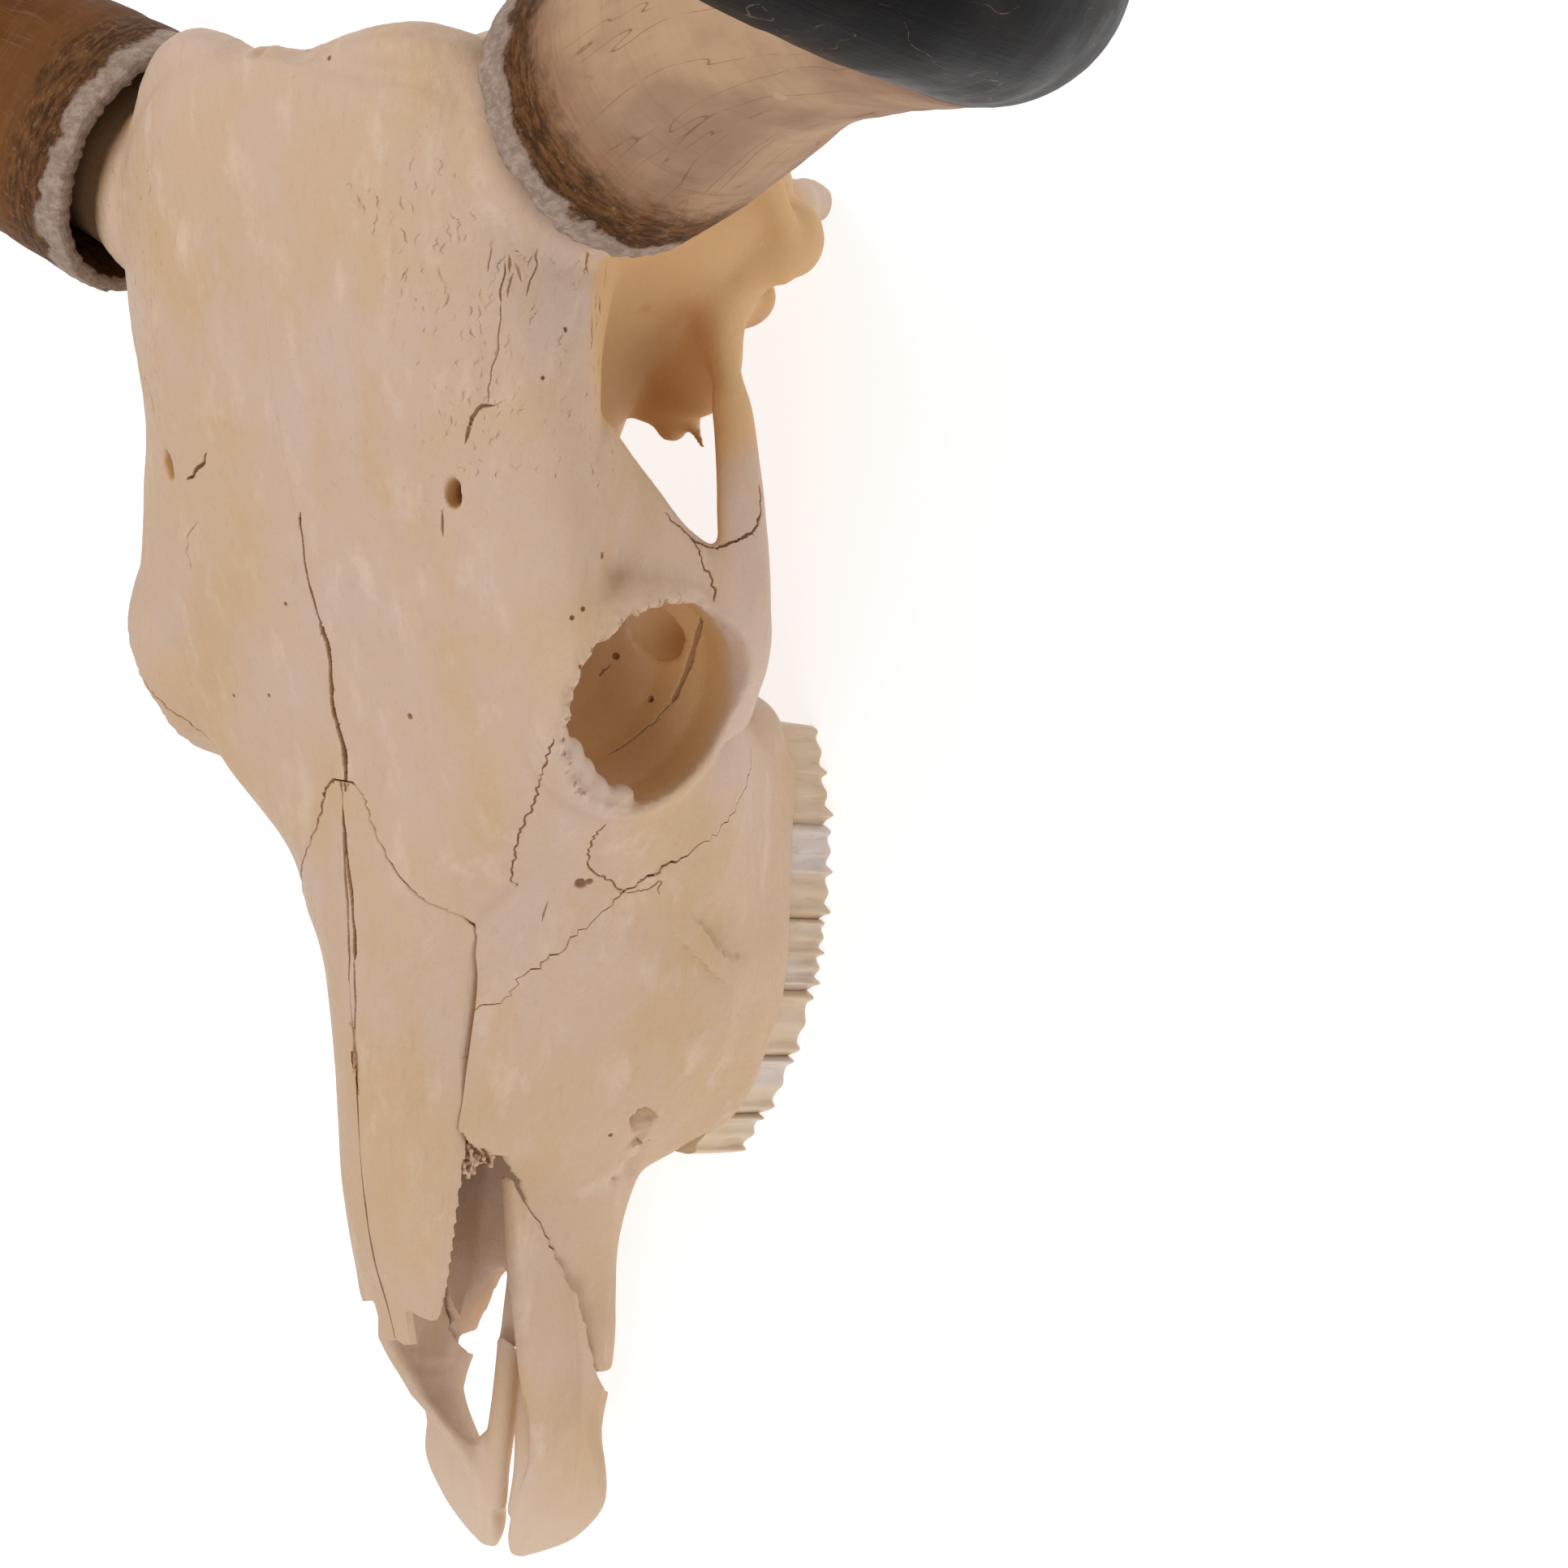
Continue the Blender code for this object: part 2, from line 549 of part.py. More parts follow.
def nasal_cavity(name, group):
    rings = []
    for y, half, low, high in CAVITY_STATIONS:
        ring = []
        for i in range(20):
            a = 2 * math.pi * i / 20
            squash = max(abs(math.cos(a)), abs(math.sin(a))) ** 0.5
            height = (low + high) / 2 + (high - low) / 2 * math.sin(a) / squash
            ring.append((half * math.cos(a) / squash, y, height))
        rings.append(ring)
    return loft(name, rings, group)


def nasal_roof(name, grow, rise, group):
    """Both nasal bones as one arched sheet, grown on all sides and raised for the seat it leaves."""
    rings = []
    steps = 12
    for y, half, top, fall, thick in NASAL_STATIONS:
        upper = []
        lower = []
        for i in range(steps + 1):
            across = 2 * i / steps - 1
            x = (half + grow) * across
            slope = 2 * fall * abs(across) / half
            arch = top - fall * across * across
            drop = grow * (math.sqrt(1 + slope * slope) + slope * abs(across))
            upper.append((x, y, arch + rise))
            lower.append((x, y, arch - thick - drop))
        rings.append(upper + lower[::-1])
    first = [(x, y - grow, z) for x, y, z in rings[0]]
    last = [(x, y + grow, z) for x, y, z in rings[-1]]
    return loft(name, [first] + rings[1:-1] + [last], group)


def tooth_row(side, group):
    """Cheek teeth as rounded blocks with two lobes on the molars."""
    teeth = []
    for name, start, end, front_x, back_x, width in TEETH:
        low = CROWN_BOTTOMS[name]
        rings = []
        for z, swell in ((low, -1.2), (low + 2.0, 0.0), (14.0, 0.6), (TOOTH_ROOT_Z, 0.0)):
            ring = []
            for t, inset in ((0.04, 1.2), (0.28, 0.0), (0.5, 1.6), (0.72, 0.0), (0.96, 1.2)):
                y = start + (end - start) * t
                x = front_x + (back_x - front_x) * t - inset + swell
                ring.append((side * x, y, z))
            for t, inset in ((0.96, 1.5), (0.72, 0.0), (0.28, 0.0), (0.04, 1.5)):
                y = start + (end - start) * t
                x = front_x + (back_x - front_x) * t - width + inset
                ring.append((side * x, y, z))
            rings.append(ring)
        teeth.append(loft(name + ("_left" if side > 0 else "_right"), rings, group))
    return teeth


def incisive(side, group):
    """Paddle of the incisive bone with its nasal process and palatine bar."""
    tag = "left" if side > 0 else "right"
    rings = []
    for y, inner, outer, top_in, top_out, low in INCISIVE_STATIONS:
        middle = (inner + outer) / 2
        ring = [(inner, top_in - 3), (inner + 1.5, top_in), (middle, (top_in + top_out) / 2 + 1.0),
                (outer - 2, top_out), (outer, (top_out + low) / 2), (outer - 2.5, low), (middle, low),
                (inner + 1.5, low), (inner, low + 2.5)]
        rings.append([(side * x, y, z) for x, z in ring])
    return loft("incisive_" + tag, rings, group)


def smooth_fuse(piece, voxel, rounds):
    remesh = piece.modifiers.new("fuse", "REMESH")
    remesh.mode = "VOXEL"
    remesh.voxel_size = voxel * MM
    soften = piece.modifiers.new("soften", "SMOOTH")
    soften.factor = 0.5
    soften.iterations = rounds


def reduce_faces(piece, faces):
    reduce = piece.modifiers.new("reduce", "DECIMATE")
    mesh_faces = len(piece.data.polygons) * 2
    reduce.ratio = min(1.0, faces / mesh_faces)
    reduce.use_collapse_triangulate = True


def bone_body(skull, cutters):
    """Cranium and upper jaws in one fused, smoothed and hollowed body."""
    masses = collection("masses")
    body = skull_masses(masses)
    masses.objects.unlink(body)
    skull.objects.link(body)
    boolean(body, "UNION", group=masses)
    bake(body)
    smooth_fuse(body, VOXEL, 6)
    bake(body)
    bulge_right(body)
    lean_right(body)
    for cutter in skull_cutters(cutters):
        boolean(body, "DIFFERENCE", cutter)
        hide_cutter(cutter)
    bake(body)
    reduce_faces(body, BODY_FACES)
    bake(body)
    seat = nasal_roof("nasal_seat", GAP, SEAT_RISE, cutters)
    boolean(body, "DIFFERENCE", seat)
    hide_cutter(seat)
    for side in (1, -1):
        fit_core(body, side, cutters)
    bake(body)
    keep_largest(body)
    for piece in list(masses.objects):
        bpy.data.objects.remove(piece, do_unlink=True)
    bpy.data.collections.remove(masses)
    return body


def copy_of(piece, name, group):
    twin = bpy.data.objects.new(name, piece.data.copy())
    group.objects.link(twin)
    return twin


def keep_inside(piece, regions):
    """Cut a piece down to what lies inside every region."""
    for region in regions:
        boolean(piece, "INTERSECT", region)
        hide_cutter(region)
    bake(piece)
    keep_largest(piece)


def side_region(name, side, group):
    """Half space to one side of the midline, less half the gap."""
    far = FAR
    rings = [[(x, y, z) for y, z in ((-far, -far), (far * 2, -far), (far * 2, far * 2), (-far, far * 2))]
             for x in (side * HALF_GAP, side * far)]
    return loft(name, rings, group)


def cranium_region(group):
    line = shifted_line(JAW_SUTURE, -HALF_GAP)
    top_y = line[-1][0]
    outline = line + [(top_y, FAR), (FAR * 2, FAR), (FAR * 2, -FAR), (line[0][0], -FAR)]
    return prism("cranium_region", outline, FAR, group)


def jaw_region(name, group):
    """Behind the incisive suture and before the cranium's."""
    rear = shifted_line(JAW_SUTURE, HALF_GAP)
    front = shifted_line(INCISIVE_SUTURE, -HALF_GAP)
    outline = rear + [(rear[-1][0], FAR), (front[-1][0], FAR)] + front[::-1] + [(front[0][0], -FAR),
                                                                             (rear[0][0], -FAR)]
    return prism(name, outline, FAR, group)


def incisive_region(name, group):
    line = shifted_line(INCISIVE_SUTURE, HALF_GAP)
    outline = line + [(line[-1][0], FAR), (-FAR, FAR), (-FAR, -FAR), (line[0][0], -FAR)]
    return prism(name, outline, FAR, group)


def build_jaw(body, side, skull, cutters):
    tag = "left" if side > 0 else "right"
    jaw = copy_of(body, "upper_jaw_" + tag, skull)
    region = jaw_region("jaw_region_" + tag, cutters)
    keep_inside(jaw, [region, side_region("jaw_side_" + tag, side, cutters)])
    flare_right(jaw, JAW_FLARE_ACROSS)
    teeth = collection("teeth_" + tag)
    tooth_row(side, teeth)
    boolean(jaw, "UNION", group=teeth)
    bake(jaw)
    keep_largest(jaw)
    for tooth in list(teeth.objects):
        bpy.data.objects.remove(tooth, do_unlink=True)
    bpy.data.collections.remove(teeth)
    return jaw


def build_nasal(side, skull, cutters):
    tag = "left" if side > 0 else "right"
    nasal = nasal_roof("nasal_" + tag, 0.0, 0.0, skull)
    keep_inside(nasal, [side_region("nasal_side_" + tag, side, cutters)])
    return nasal


def build_incisive(side, skull, cutters):
    tag = "left" if side > 0 else "right"
    extras = collection("incisive_extras_" + tag)
    piece = incisive(side, skull)
    bar = [(side * x, y, z) for x, y, z in PALATINE_BAR]
    sweep("bar_" + tag, bar, [r * 1.4 for r in PALATINE_BAR_RADII], [r * 0.75 for r in PALATINE_BAR_RADII],
          extras)
    boolean(piece, "UNION", group=extras)
    bake(piece)
    smooth_fuse(piece, INCISIVE_VOXEL, 3)
    bake(piece)
    reduce_faces(piece, INCISIVE_FACES)
    bake(piece)
    for extra in list(extras.objects):
        bpy.data.objects.remove(extra, do_unlink=True)
    bpy.data.collections.remove(extras)
    keep_inside(piece, [incisive_region("incisive_region_" + tag, cutters),
                        side_region("incisive_side_" + tag, side, cutters)])
    flare_right(piece, INCISIVE_FLARE_ACROSS)
    return piece


def main():
    clear_scene()
    skull = collection("cattle_skull")
    cutters = collection("cutters")
    bone = material("bone", BONE, BONE_ROUGHNESS)
    bone_pale = material("bone_pale", BONE_PALE, BONE_ROUGHNESS)
    horn = material("horn", HORN_BROWN, HORN_ROUGHNESS)
    cranium = bone_body(skull, cutters)
    cranium.name = "cranium"
    dressed = []
    for side in (1, -1):
        dressed.append((build_jaw(cranium, side, skull, cutters), bone))
        dressed.append((build_nasal(side, skull, cutters), bone_pale))
        dressed.append((build_incisive(side, skull, cutters), bone_pale))
        dressed.append((build_horn(side, skull, cutters), horn))
    keep_inside(cranium, [cranium_region(cutters)])
    dressed.append((cranium, bone))
    for piece, finish in dressed:
        piece.data.materials.clear()
        piece.data.materials.append(finish)
        piece.data.shade_smooth()
        piece.data.set_sharp_from_angle(angle=SHARP_ANGLE)


main()
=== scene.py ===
"""Looks of a longhorn cattle skull that lies on its cheek teeth: weathered bone, enamel and horn.

The bones are fused from closed masses, cut, split along their sutures and given cracks, pits and
openings as real geometry. Sizes are in millimetres, with X to the animal's left, Y counted from the
muzzle's tip and Z up; to_world() turns them into metres in the frame of the part.
"""
import itertools
import json
import math
import bpy
import bmesh
import numpy as np
from mathutils import Matrix, Vector
from mathutils.bvhtree import BVHTree
from mathutils.kdtree import KDTree

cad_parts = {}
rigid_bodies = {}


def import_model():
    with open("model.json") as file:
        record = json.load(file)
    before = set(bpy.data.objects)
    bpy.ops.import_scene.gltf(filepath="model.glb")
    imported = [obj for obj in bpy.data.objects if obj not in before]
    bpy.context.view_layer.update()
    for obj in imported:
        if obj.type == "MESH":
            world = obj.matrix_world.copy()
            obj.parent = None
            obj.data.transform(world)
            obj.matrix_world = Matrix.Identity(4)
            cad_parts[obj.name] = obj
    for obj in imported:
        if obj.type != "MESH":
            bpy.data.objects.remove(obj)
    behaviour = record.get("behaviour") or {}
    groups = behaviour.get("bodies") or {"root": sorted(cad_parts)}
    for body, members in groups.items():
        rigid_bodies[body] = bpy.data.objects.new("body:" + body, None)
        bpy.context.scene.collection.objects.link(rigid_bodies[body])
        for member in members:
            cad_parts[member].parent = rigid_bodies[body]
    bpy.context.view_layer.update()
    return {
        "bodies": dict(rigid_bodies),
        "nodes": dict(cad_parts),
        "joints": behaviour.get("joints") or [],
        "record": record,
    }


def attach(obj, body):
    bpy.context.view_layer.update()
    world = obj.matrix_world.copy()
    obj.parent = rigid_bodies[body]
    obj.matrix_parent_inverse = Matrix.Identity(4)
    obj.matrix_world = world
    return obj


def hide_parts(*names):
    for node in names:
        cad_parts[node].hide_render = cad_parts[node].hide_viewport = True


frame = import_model()

# Metres in a millimetre, the middle of the footprint, and a reach past all of the skull.
MM = 0.001
MIDDLE_Y = 262.5
FAR = 900.0
# Gap of the sutures, and the finer one of those that lie behind this Y.
SUTURE_GAP = 0.4
HAIRLINE_GAP = 0.2
HAIRLINE_FROM_Y = 238.0
MIDLINE_GAP = 0.4
# Height at which the bone's lowest points are cut level.
FLOOR_TRIM = 0.02
# Cell of the fused meshes: the main bones and the thin plates.
BONE_VOXEL = 1.25
PLATE_VOXEL = 0.8
SEED = 11
# The two sides as the sign of their X and their name, and the mark of a form that both have.
SIDES = ((1, "left"), (-1, "right"))
BOTH = 2
# Steps between two sections of the skull's masses, and the points of each half section.
SECTION_STEPS = 8
SECTION_POINTS = 10
# Offsets of a cell's eight corners, and of a cell and its neighbours.
CORNERS = tuple(itertools.product((0, 1), repeat=3))
AROUND = tuple(itertools.product((-1, 0, 1), repeat=3))

# Half sections of the face: each station along Y has ten (x, z) points, from the top of the
# midline over the roof's edge, the cheek and the tooth ridge to the middle of the palate.
FACE_SECTIONS = {
    60: ((0, 44), (8, 48), (15, 52), (24, 50), (31, 46),
         (36, 42), (38, 37), (34, 31), (18, 30), (0, 31)),
    92: ((0, 62), (10, 66), (20, 70), (27, 64), (31, 54),
         (34, 46), (35.5, 40), (31, 34), (18, 32), (0, 33)),
    124: ((0, 90), (12, 90), (23, 88), (31.5, 77), (40, 66),
          (45.5, 56), (44, 47), (35, 40), (24, 31), (0, 33)),
    140: ((0, 135), (14, 131), (26, 117), (34, 100), (44, 79),
          (50.5, 60), (50, 45), (51, 32), (39, 26), (0, 32)),
    156: ((0, 141), (15, 136.5), (28, 120), (42, 99), (54, 79),
          (62, 58), (65, 41), (68, 24), (48, 22), (0, 31)),
    188: ((0, 149.5), (18, 142.5), (32, 125), (46, 110), (61, 90),
          (77, 66), (82, 48), (77, 22), (50, 21), (0, 30)),
    206: ((0, 154), (20, 149), (37, 134), (50, 119), (65, 99),
          (81, 74), (87, 52), (78, 22), (52, 21), (0, 30)),
    225: ((0, 158.5), (24, 155), (43, 139.5), (58, 121), (73, 99),
          (86, 75), (84, 50), (77, 22), (53, 21), (0, 30)),
    252: ((0, 165), (35, 161.5), (64, 154), (80, 136), (89, 106),
          (93, 82), (84, 55), (74, 22), (52, 21), (0, 31)),
    276: ((0, 172), (45, 171), (78, 164), (90, 150), (94, 112),
          (94, 84), (80, 52), (69, 22), (50, 21), (0, 40)),
    294: ((0, 179), (50, 179), (84, 174), (95, 162), (88, 112),
          (84, 84), (70, 62), (58, 40), (44, 40), (0, 60)),
}
# Half sections of the braincase: roof, the frontal's overhanging edge, temple wall and base.
BRAIN_SECTIONS = {
    290: ((0, 177), (50, 177), (86, 172), (94, 160), (76, 142),
          (44, 118), (34, 95), (24, 78), (14, 70), (0, 68)),
    330: ((0, 198), (52, 195), (88.5, 181), (96.5, 167), (82, 151),
          (46, 132), (36, 104), (22, 80), (12, 71), (0, 69)),
    360: ((0, 212), (50, 208), (85, 189), (93, 172.5), (84, 158),
          (52, 140), (43, 110), (22, 80), (12, 69), (0, 67)),
    390: ((0, 223), (50, 219), (82, 203), (93, 179), (82, 160),
          (58, 140), (54, 110), (32, 80), (16, 65), (0, 62)),
    415: ((0, 231), (50, 228), (82, 213), (94, 189), (86, 164),
          (69, 140), (72, 108), (46, 76), (20, 58), (0, 55)),
    440: ((0, 238), (50, 236), (82, 223), (94, 197), (88, 166),
          (86, 138), (93, 104), (60, 66), (22, 52), (0, 50)),
    460: ((0, 242), (48, 240), (76, 229), (88, 198), (86, 164),
          (92, 128), (98, 98), (64, 62), (24, 48), (0, 48)),
    471: ((0, 243), (44, 236), (66, 226), (76, 198), (76, 162),
          (78, 128), (84, 98), (52, 66), (22, 54), (0, 54)),
}

# Nasal bones: Y station, half width, height of the middle, fall to the edge, thickness.
NASAL_STATIONS = (
    (66, 13.5, 105.5, 2.5, 3.4),
    (78, 16.5, 111.5, 4.0, 3.8),
    (97, 20.5, 122.5, 11.0, 4.5),
    (120, 24.3, 131.5, 15.5, 5.0),
    (145, 26.5, 138.5, 19.5, 6.0),
    (168, 29.0, 144.5, 22.5, 7.0),
    (188, 32.0, 150.0, 24.0, 8.0),
    (201, 35.5, 152.0, 21.0, 9.0),
    (212, 38.0, 154.0, 17.0, 9.0),
    (216, 34.0, 155.0, 12.5, 9.0),
    (219, 27.5, 155.6, 8.0, 9.0),
    (224, 22.5, 157.0, 5.5, 9.0),
    (232, 16.5, 159.0, 3.0, 9.0),
    (241, 11.5, 161.0, 1.5, 9.0),
    (249, 8.5, 162.8, 1.0, 9.0),
    (253, 4.5, 163.6, 0.5, 9.0),
)
# How far the cut for the nasal bones' seat reaches up, and the gap left at the nose's sides.
SEAT_RISE = 25.0
NOSE_GAP = 1.3
# Plan view of the left nasal bone's two-pointed tip.
NASAL_TIP = ((-30, 69.5), (1, 69.0), (3.5, 67.8), (6.2, 68.4), (6.6, 74.0), (7.0, 79.8), (9.0, 80.8),
             (12.0, 79.4), (15.2, 78.6), (16.8, 81.5), (19.0, 88.0), (60, 100), (60, 300), (-30, 300))
# Nasal cavity: Y station, half width, floor and ceiling.
CAVITY_STATIONS = (
    (40, 14.0, 38.0, 130.0),
    (70, 20.0, 37.0, 130.0),
    (95, 21.0, 37.0, 130.0),
    (124, 26.0, 38.0, 128.0),
    (145, 31.0, 40.0, 126.0),
    (172, 27.0, 44.0, 122.0),
    (205, 20.0, 52.0, 116.0),
    (222, 8.0, 66.0, 100.0),
)
# Incisive bone: Y station, inner x, outer x, top z inside, top z outside and bottom z.
INCISIVE_STATIONS = (
    (-9.6, 3.5, 9.5, 40.0, 39.0, 36.0),
    (-5, 2.0, 19.0, 41.0, 38.8, 34.0),
    (2, 2.8, 29.5, 42.0, 38.0, 32.5),
    (14, 7.5, 39.0, 44.0, 38.5, 32.0),
    (26, 12.5, 38.5, 48.0, 39.0, 32.0),
    (40, 15.5, 34.0, 54.0, 42.0, 31.5),
    (60, 20.5, 35.5, 69.0, 48.0, 31.0),
    (80, 20.5, 37.0, 76.0, 56.0, 36.0),
    (100, 19.5, 35.5, 82.0, 64.0, 46.0),
    (128, 20.5, 31.0, 90.0, 82.0, 70.0),
)
# How far the foot of the right incisive bone stands further out: Y and distance.
FOOT_OUT = ((8, 0.0), (18, 2.0), (28, 3.6), (38, 4.6), (44, 3.0), (49, 0.5), (54, -2.5), (66, -6.0))
# Taper of the upper jaw's front tip.
TIP_TAPER = 4.0
TIP_TAPER_Y = (48.0, 78.0)
TIP_TAPER_ACROSS = (22.0, 38.0)
# How far the right side of the muzzle stands further out and up than the left one: Y and distance.
RIGHT_FLARE = ((-12, 1.0), (2, 1.5), (14, 2.2), (26, 3.4), (33, 6.2), (40, 8.6), (60, 8.6), (90, 4.0),
               (124, 0.0))
# Heights between which its foot stays down, the Y where its front gives way to its rear, and the
# distances from the midline where it starts and is full, at the front and at the rear.
FLARE_FOOT = (32.0, 50.0)
FLARE_FRONT_Y = (14.0, 34.0)
INCISIVE_FLARE_ACROSS = ((6.0, 13.0), (11.5, 14.5))
JAW_FLARE_ACROSS = ((12.5, 21.0), (12.5, 21.0))
# Side view of the sutures as (Y, Z), and how far and how often their teeth swing.
INCISIVE_SUTURE = ((46, 10), (51, 28), (59, 41), (95, 62), (112, 74), (120, 82), (126, 88), (136, 98))
INCISIVE_TEETH = (0.5, 2.2)
JAW_SUTURE = ((305, 5), (300, 34), (288, 56), (266, 74), (246, 92), (236, 101), (227, 105), (217, 109),
              (205, 114), (196, 118), (186, 121), (172, 160))
JAW_TEETH = (1.1, 1.5)
# Plan view of the gap beside the palate's front, and the heights between which it is open.
PALATE_FISSURE = ((11.5, 30), (11.5, 80), (14.0, 86.5), (16.6, 82), (18.2, 72), (19.6, 62), (20.4, 46),
                  (20.4, 30))
FISSURE_HEIGHTS = (20, 46)
# Shelf of the palate outside the gap: middle line, half heights and half widths.
PALATE_SHELF = ((25.0, 48, 38.5), (25.0, 60, 39.5), (24.0, 72, 40.5), (21.5, 86, 42))
SHELF_HEIGHTS = (3.6, 3.6, 3.4, 3.0)
SHELF_WIDTHS = (5.5, 5.5, 5.5, 5.0)
# Bar of the incisive bone along the palate.
PALATINE_BAR = ((7.5, 4, 38.5), (7.5, 20, 38.5), (6.0, 40, 39.5), (6.0, 84, 40))
PALATINE_BAR_HEIGHTS = (4.2, 4.2, 4.6, 5.4)
PALATINE_BAR_WIDTHS = (6.5, 5.8, 5.0, 5.2)

# Orbit: middle of its rim, the way it looks, and its outer wall and socket as (distance, radius).
ORBIT_RIM = Vector((98.5, 290, 136))
ORBIT_LOOKS = Vector((0.964, -0.238, 0.116)).normalized()
ORBIT_WALL = ((1.0, 38.5), (-7.0, 40.5), (-24.0, 38.5), (-48.0, 34.0))
ORBIT_SOCKET = ((14.0, 36.5), (0.0, 33.5), (-14.0, 34.5), (-32.0, 30.0), (-44.0, 21.0), (-52.0, 9.0))
ORBIT_WINDOW = ((74, 316, 104), (11, 12, 12))
ORBIT_KNOB = ((87, 261, 133), (4.5, 3.5, 6.5))
# Lobes of the tear bone's edge across the lower front of the orbit.
ORBIT_LOBES = (((87.0, 277, 166), (2.6, 6, 6)), ((86.5, 271, 158), (2.8, 7, 7)),
               ((86.0, 266, 151), (2.8, 6.5, 7)), ((86.5, 262, 144), (3.2, 5, 6)))
# Limbs of the skull: middle line, half heights and half widths; one list of radii where round.
ARCH_PATH = ((92, 284, 95), (105.3, 306, 105), (110.5, 326, 112), (106.3, 351, 112), (97.2, 380, 110),
             (86.8, 404, 108), (81, 424, 104))
ARCH_HEIGHTS = (14, 13, 11, 10, 8.5, 8.5, 10)
ARCH_WIDTHS = (8, 7.6, 7.6, 6.6, 5.6, 5.0, 8)
ORBIT_BAR = ((86, 353, 172), (91, 344, 152), (99, 337, 138), (104, 331, 124), (107, 328, 112))
ORBIT_BAR_HEIGHTS = (25, 18, 11.5, 11, 12)
ORBIT_BAR_WIDTHS = (7, 5.5, 5, 5, 5)
ARCH_FOOT = ((78, 398, 104), (79, 411, 100), (84, 423, 97), (92, 436, 98))
ARCH_FOOT_HEIGHTS = (6, 7, 7, 7)
ARCH_FOOT_WIDTHS = (5, 5, 6, 6)
FOSSA_SPIKE = ((60, 388, 90), (66, 379, 90), (71, 372, 90))
FOSSA_SPIKE_RADII = (4.5, 2.8, 1.2)
CHEEK_RIDGE = ((80, 248, 108), (74, 228, 90), (79, 206, 58), (72, 180, 50), (58, 164, 46))
CHEEK_RIDGE_RADII = (5, 5, 6.5, 6, 5)
# Rounded masses: centre and radii.
ROUND_MASSES = {
    "jaw_joint": ((51, 398, 94), (20, 19, 9)),
    "joint_shelf": ((69, 400, 98), (20, 20, 10)),
    "mastoid": ((94, 442, 91), (11, 13, 14)),
    "ear_bone": ((68, 424, 84), (17, 12, 12)),
    "bulla": ((37, 412, 56), (9, 17, 15)),
    "condyle": ((25, 472, 56), (17, 14, 22)),
    "orbit_back": ((54, 312, 98), (25, 27, 26)),
    "fossa_plate": ((56, 379, 90), (6, 5, 5)),
    "maxillary_tuber": ((60, 280, 46), (17, 17, 22)),
}
NECK_CREST = ((84, 462, 190), (90, 462, 155), (97, 460, 120), (100, 449, 106), (99, 438, 96), (92, 428, 92))
NECK_CREST_RADII = (9, 8, 7, 5, 4.5, 5)
POLL_RIDGE = ((0, 468, 235), (14, 468, 230), (34, 472, 231), (54, 474, 228), (72, 468, 216))
POLL_RIDGE_RADII = (9, 8, 9, 11, 14)
NECK_PROCESS = ((60, 452, 66), (56, 458, 42), (45, 464, 20), (34.5, 467, -4))
NECK_PROCESS_RADII = (15, 11, 8.5, 6)
BASE_BAR = ((0, 462, 60), (0, 400, 66), (0, 330, 74), (0, 292, 84))
BASE_BAR_RADII = (13, 12, 10, 10)
# Thin plates behind the palate.
PTERYGOID_PLATE = ((27, 262, 34), (25, 300, 50), (23, 340, 62))
PTERYGOID_HEIGHTS = (12, 20, 9)
PTERYGOID_WIDTH = 3.2
# The right orbit's upper rim stands out a little further: centre, radius, way and distance.
RIM_BULGE = ((-99, 303, 164), 36.0, (-0.77, 0.0, 0.63), 3.2)
# Openings at the back of the head and behind the palate.
FORAMEN_CENTRE = (0, 476, 84)
FORAMEN_RADII = (19, 30, 16)
CHOANA_CENTRE = (0, 280, 54)
CHOANA_RADII = (19, 42, 15)

# Left horn: points of its middle line from the open rim to the tip, and its radii.
HORN_PATH = ((99, 462.3, 194.9), (121.5, 470.6, 199.0), (145, 479.5, 207), (188, 491.5, 227), (234, 493, 248),
             (277, 488, 273.5), (312, 480, 308), (336, 472, 350), (347, 467, 398), (346, 468, 448),
             (339, 473, 497), (328, 483, 543), (315, 497, 586), (303, 513, 625), (296, 526, 652))
HORN_RADII = (46.0, 45.0, 44.0, 41.0, 38.7, 36.4, 34.2, 32.0, 29.8, 26.8, 23.0, 18.6, 13.6, 8.2, 2.6)
# How the right horn lies against the mirrored left one.
RIGHT_HORN_SHIFT = Vector((0.0, -18.0, -9.8))
# Wall of the sheath at its rim and the depth of its hollow, with the room that the bone leaves it.
SHEATH_WALL = 6.5
CAVITY_DEPTH = 62.0
SHEATH_ROOM = 0.6
# Fine steps between two points of the horn's middle line, in which its length is measured.
HORN_STEPS = 40
# Horn core and its foot on the skull: distance along the horn's axis and radius.
CORE_PROFILE = ((-34.0, 38.5), (-10.0, 34.0), (0.0, 30.5), (12.0, 29.5), (34.0, 29.2), (62.0, 28.4))
HORN_BASE = ((-60.0, 38.0), (-30.0, 40.0), (-12.0, 37.0), (-1.0, 31.0))
# Where the bone goes along with the right horn's shift: from the midline out, rearward and up.
SHIFT_ACROSS = (35.0, 80.0)
SHIFT_ALONG = (385.0, 445.0)
SHIFT_UP = (110.0, 165.0)

# Cheek teeth, front to back: name, Y start, Y end, cheek side x at both ends, width, crown bottom.
TEETH = (
    ("P2", 138.5, 153.0, 55.0, 63.0, 14.0, 4.0),
    ("P3", 153.6, 174.0, 63.0, 70.5, 17.0, 1.5),
    ("P4", 174.6, 197.0, 70.5, 74.5, 19.0, 0.6),
    ("M1", 197.6, 221.5, 74.5, 75.5, 21.0, 0.0),
    ("M2", 222.1, 253.5, 75.5, 73.0, 22.0, 0.0),
    ("M3", 254.1, 286.5, 73.0, 62.5, 21.0, 0.6),
)
TOOTH_ROOT_Z = 30.0
# How far a crown reaches past its Y limits, so that neighbours meet.
TOOTH_OVERLAP = 0.35
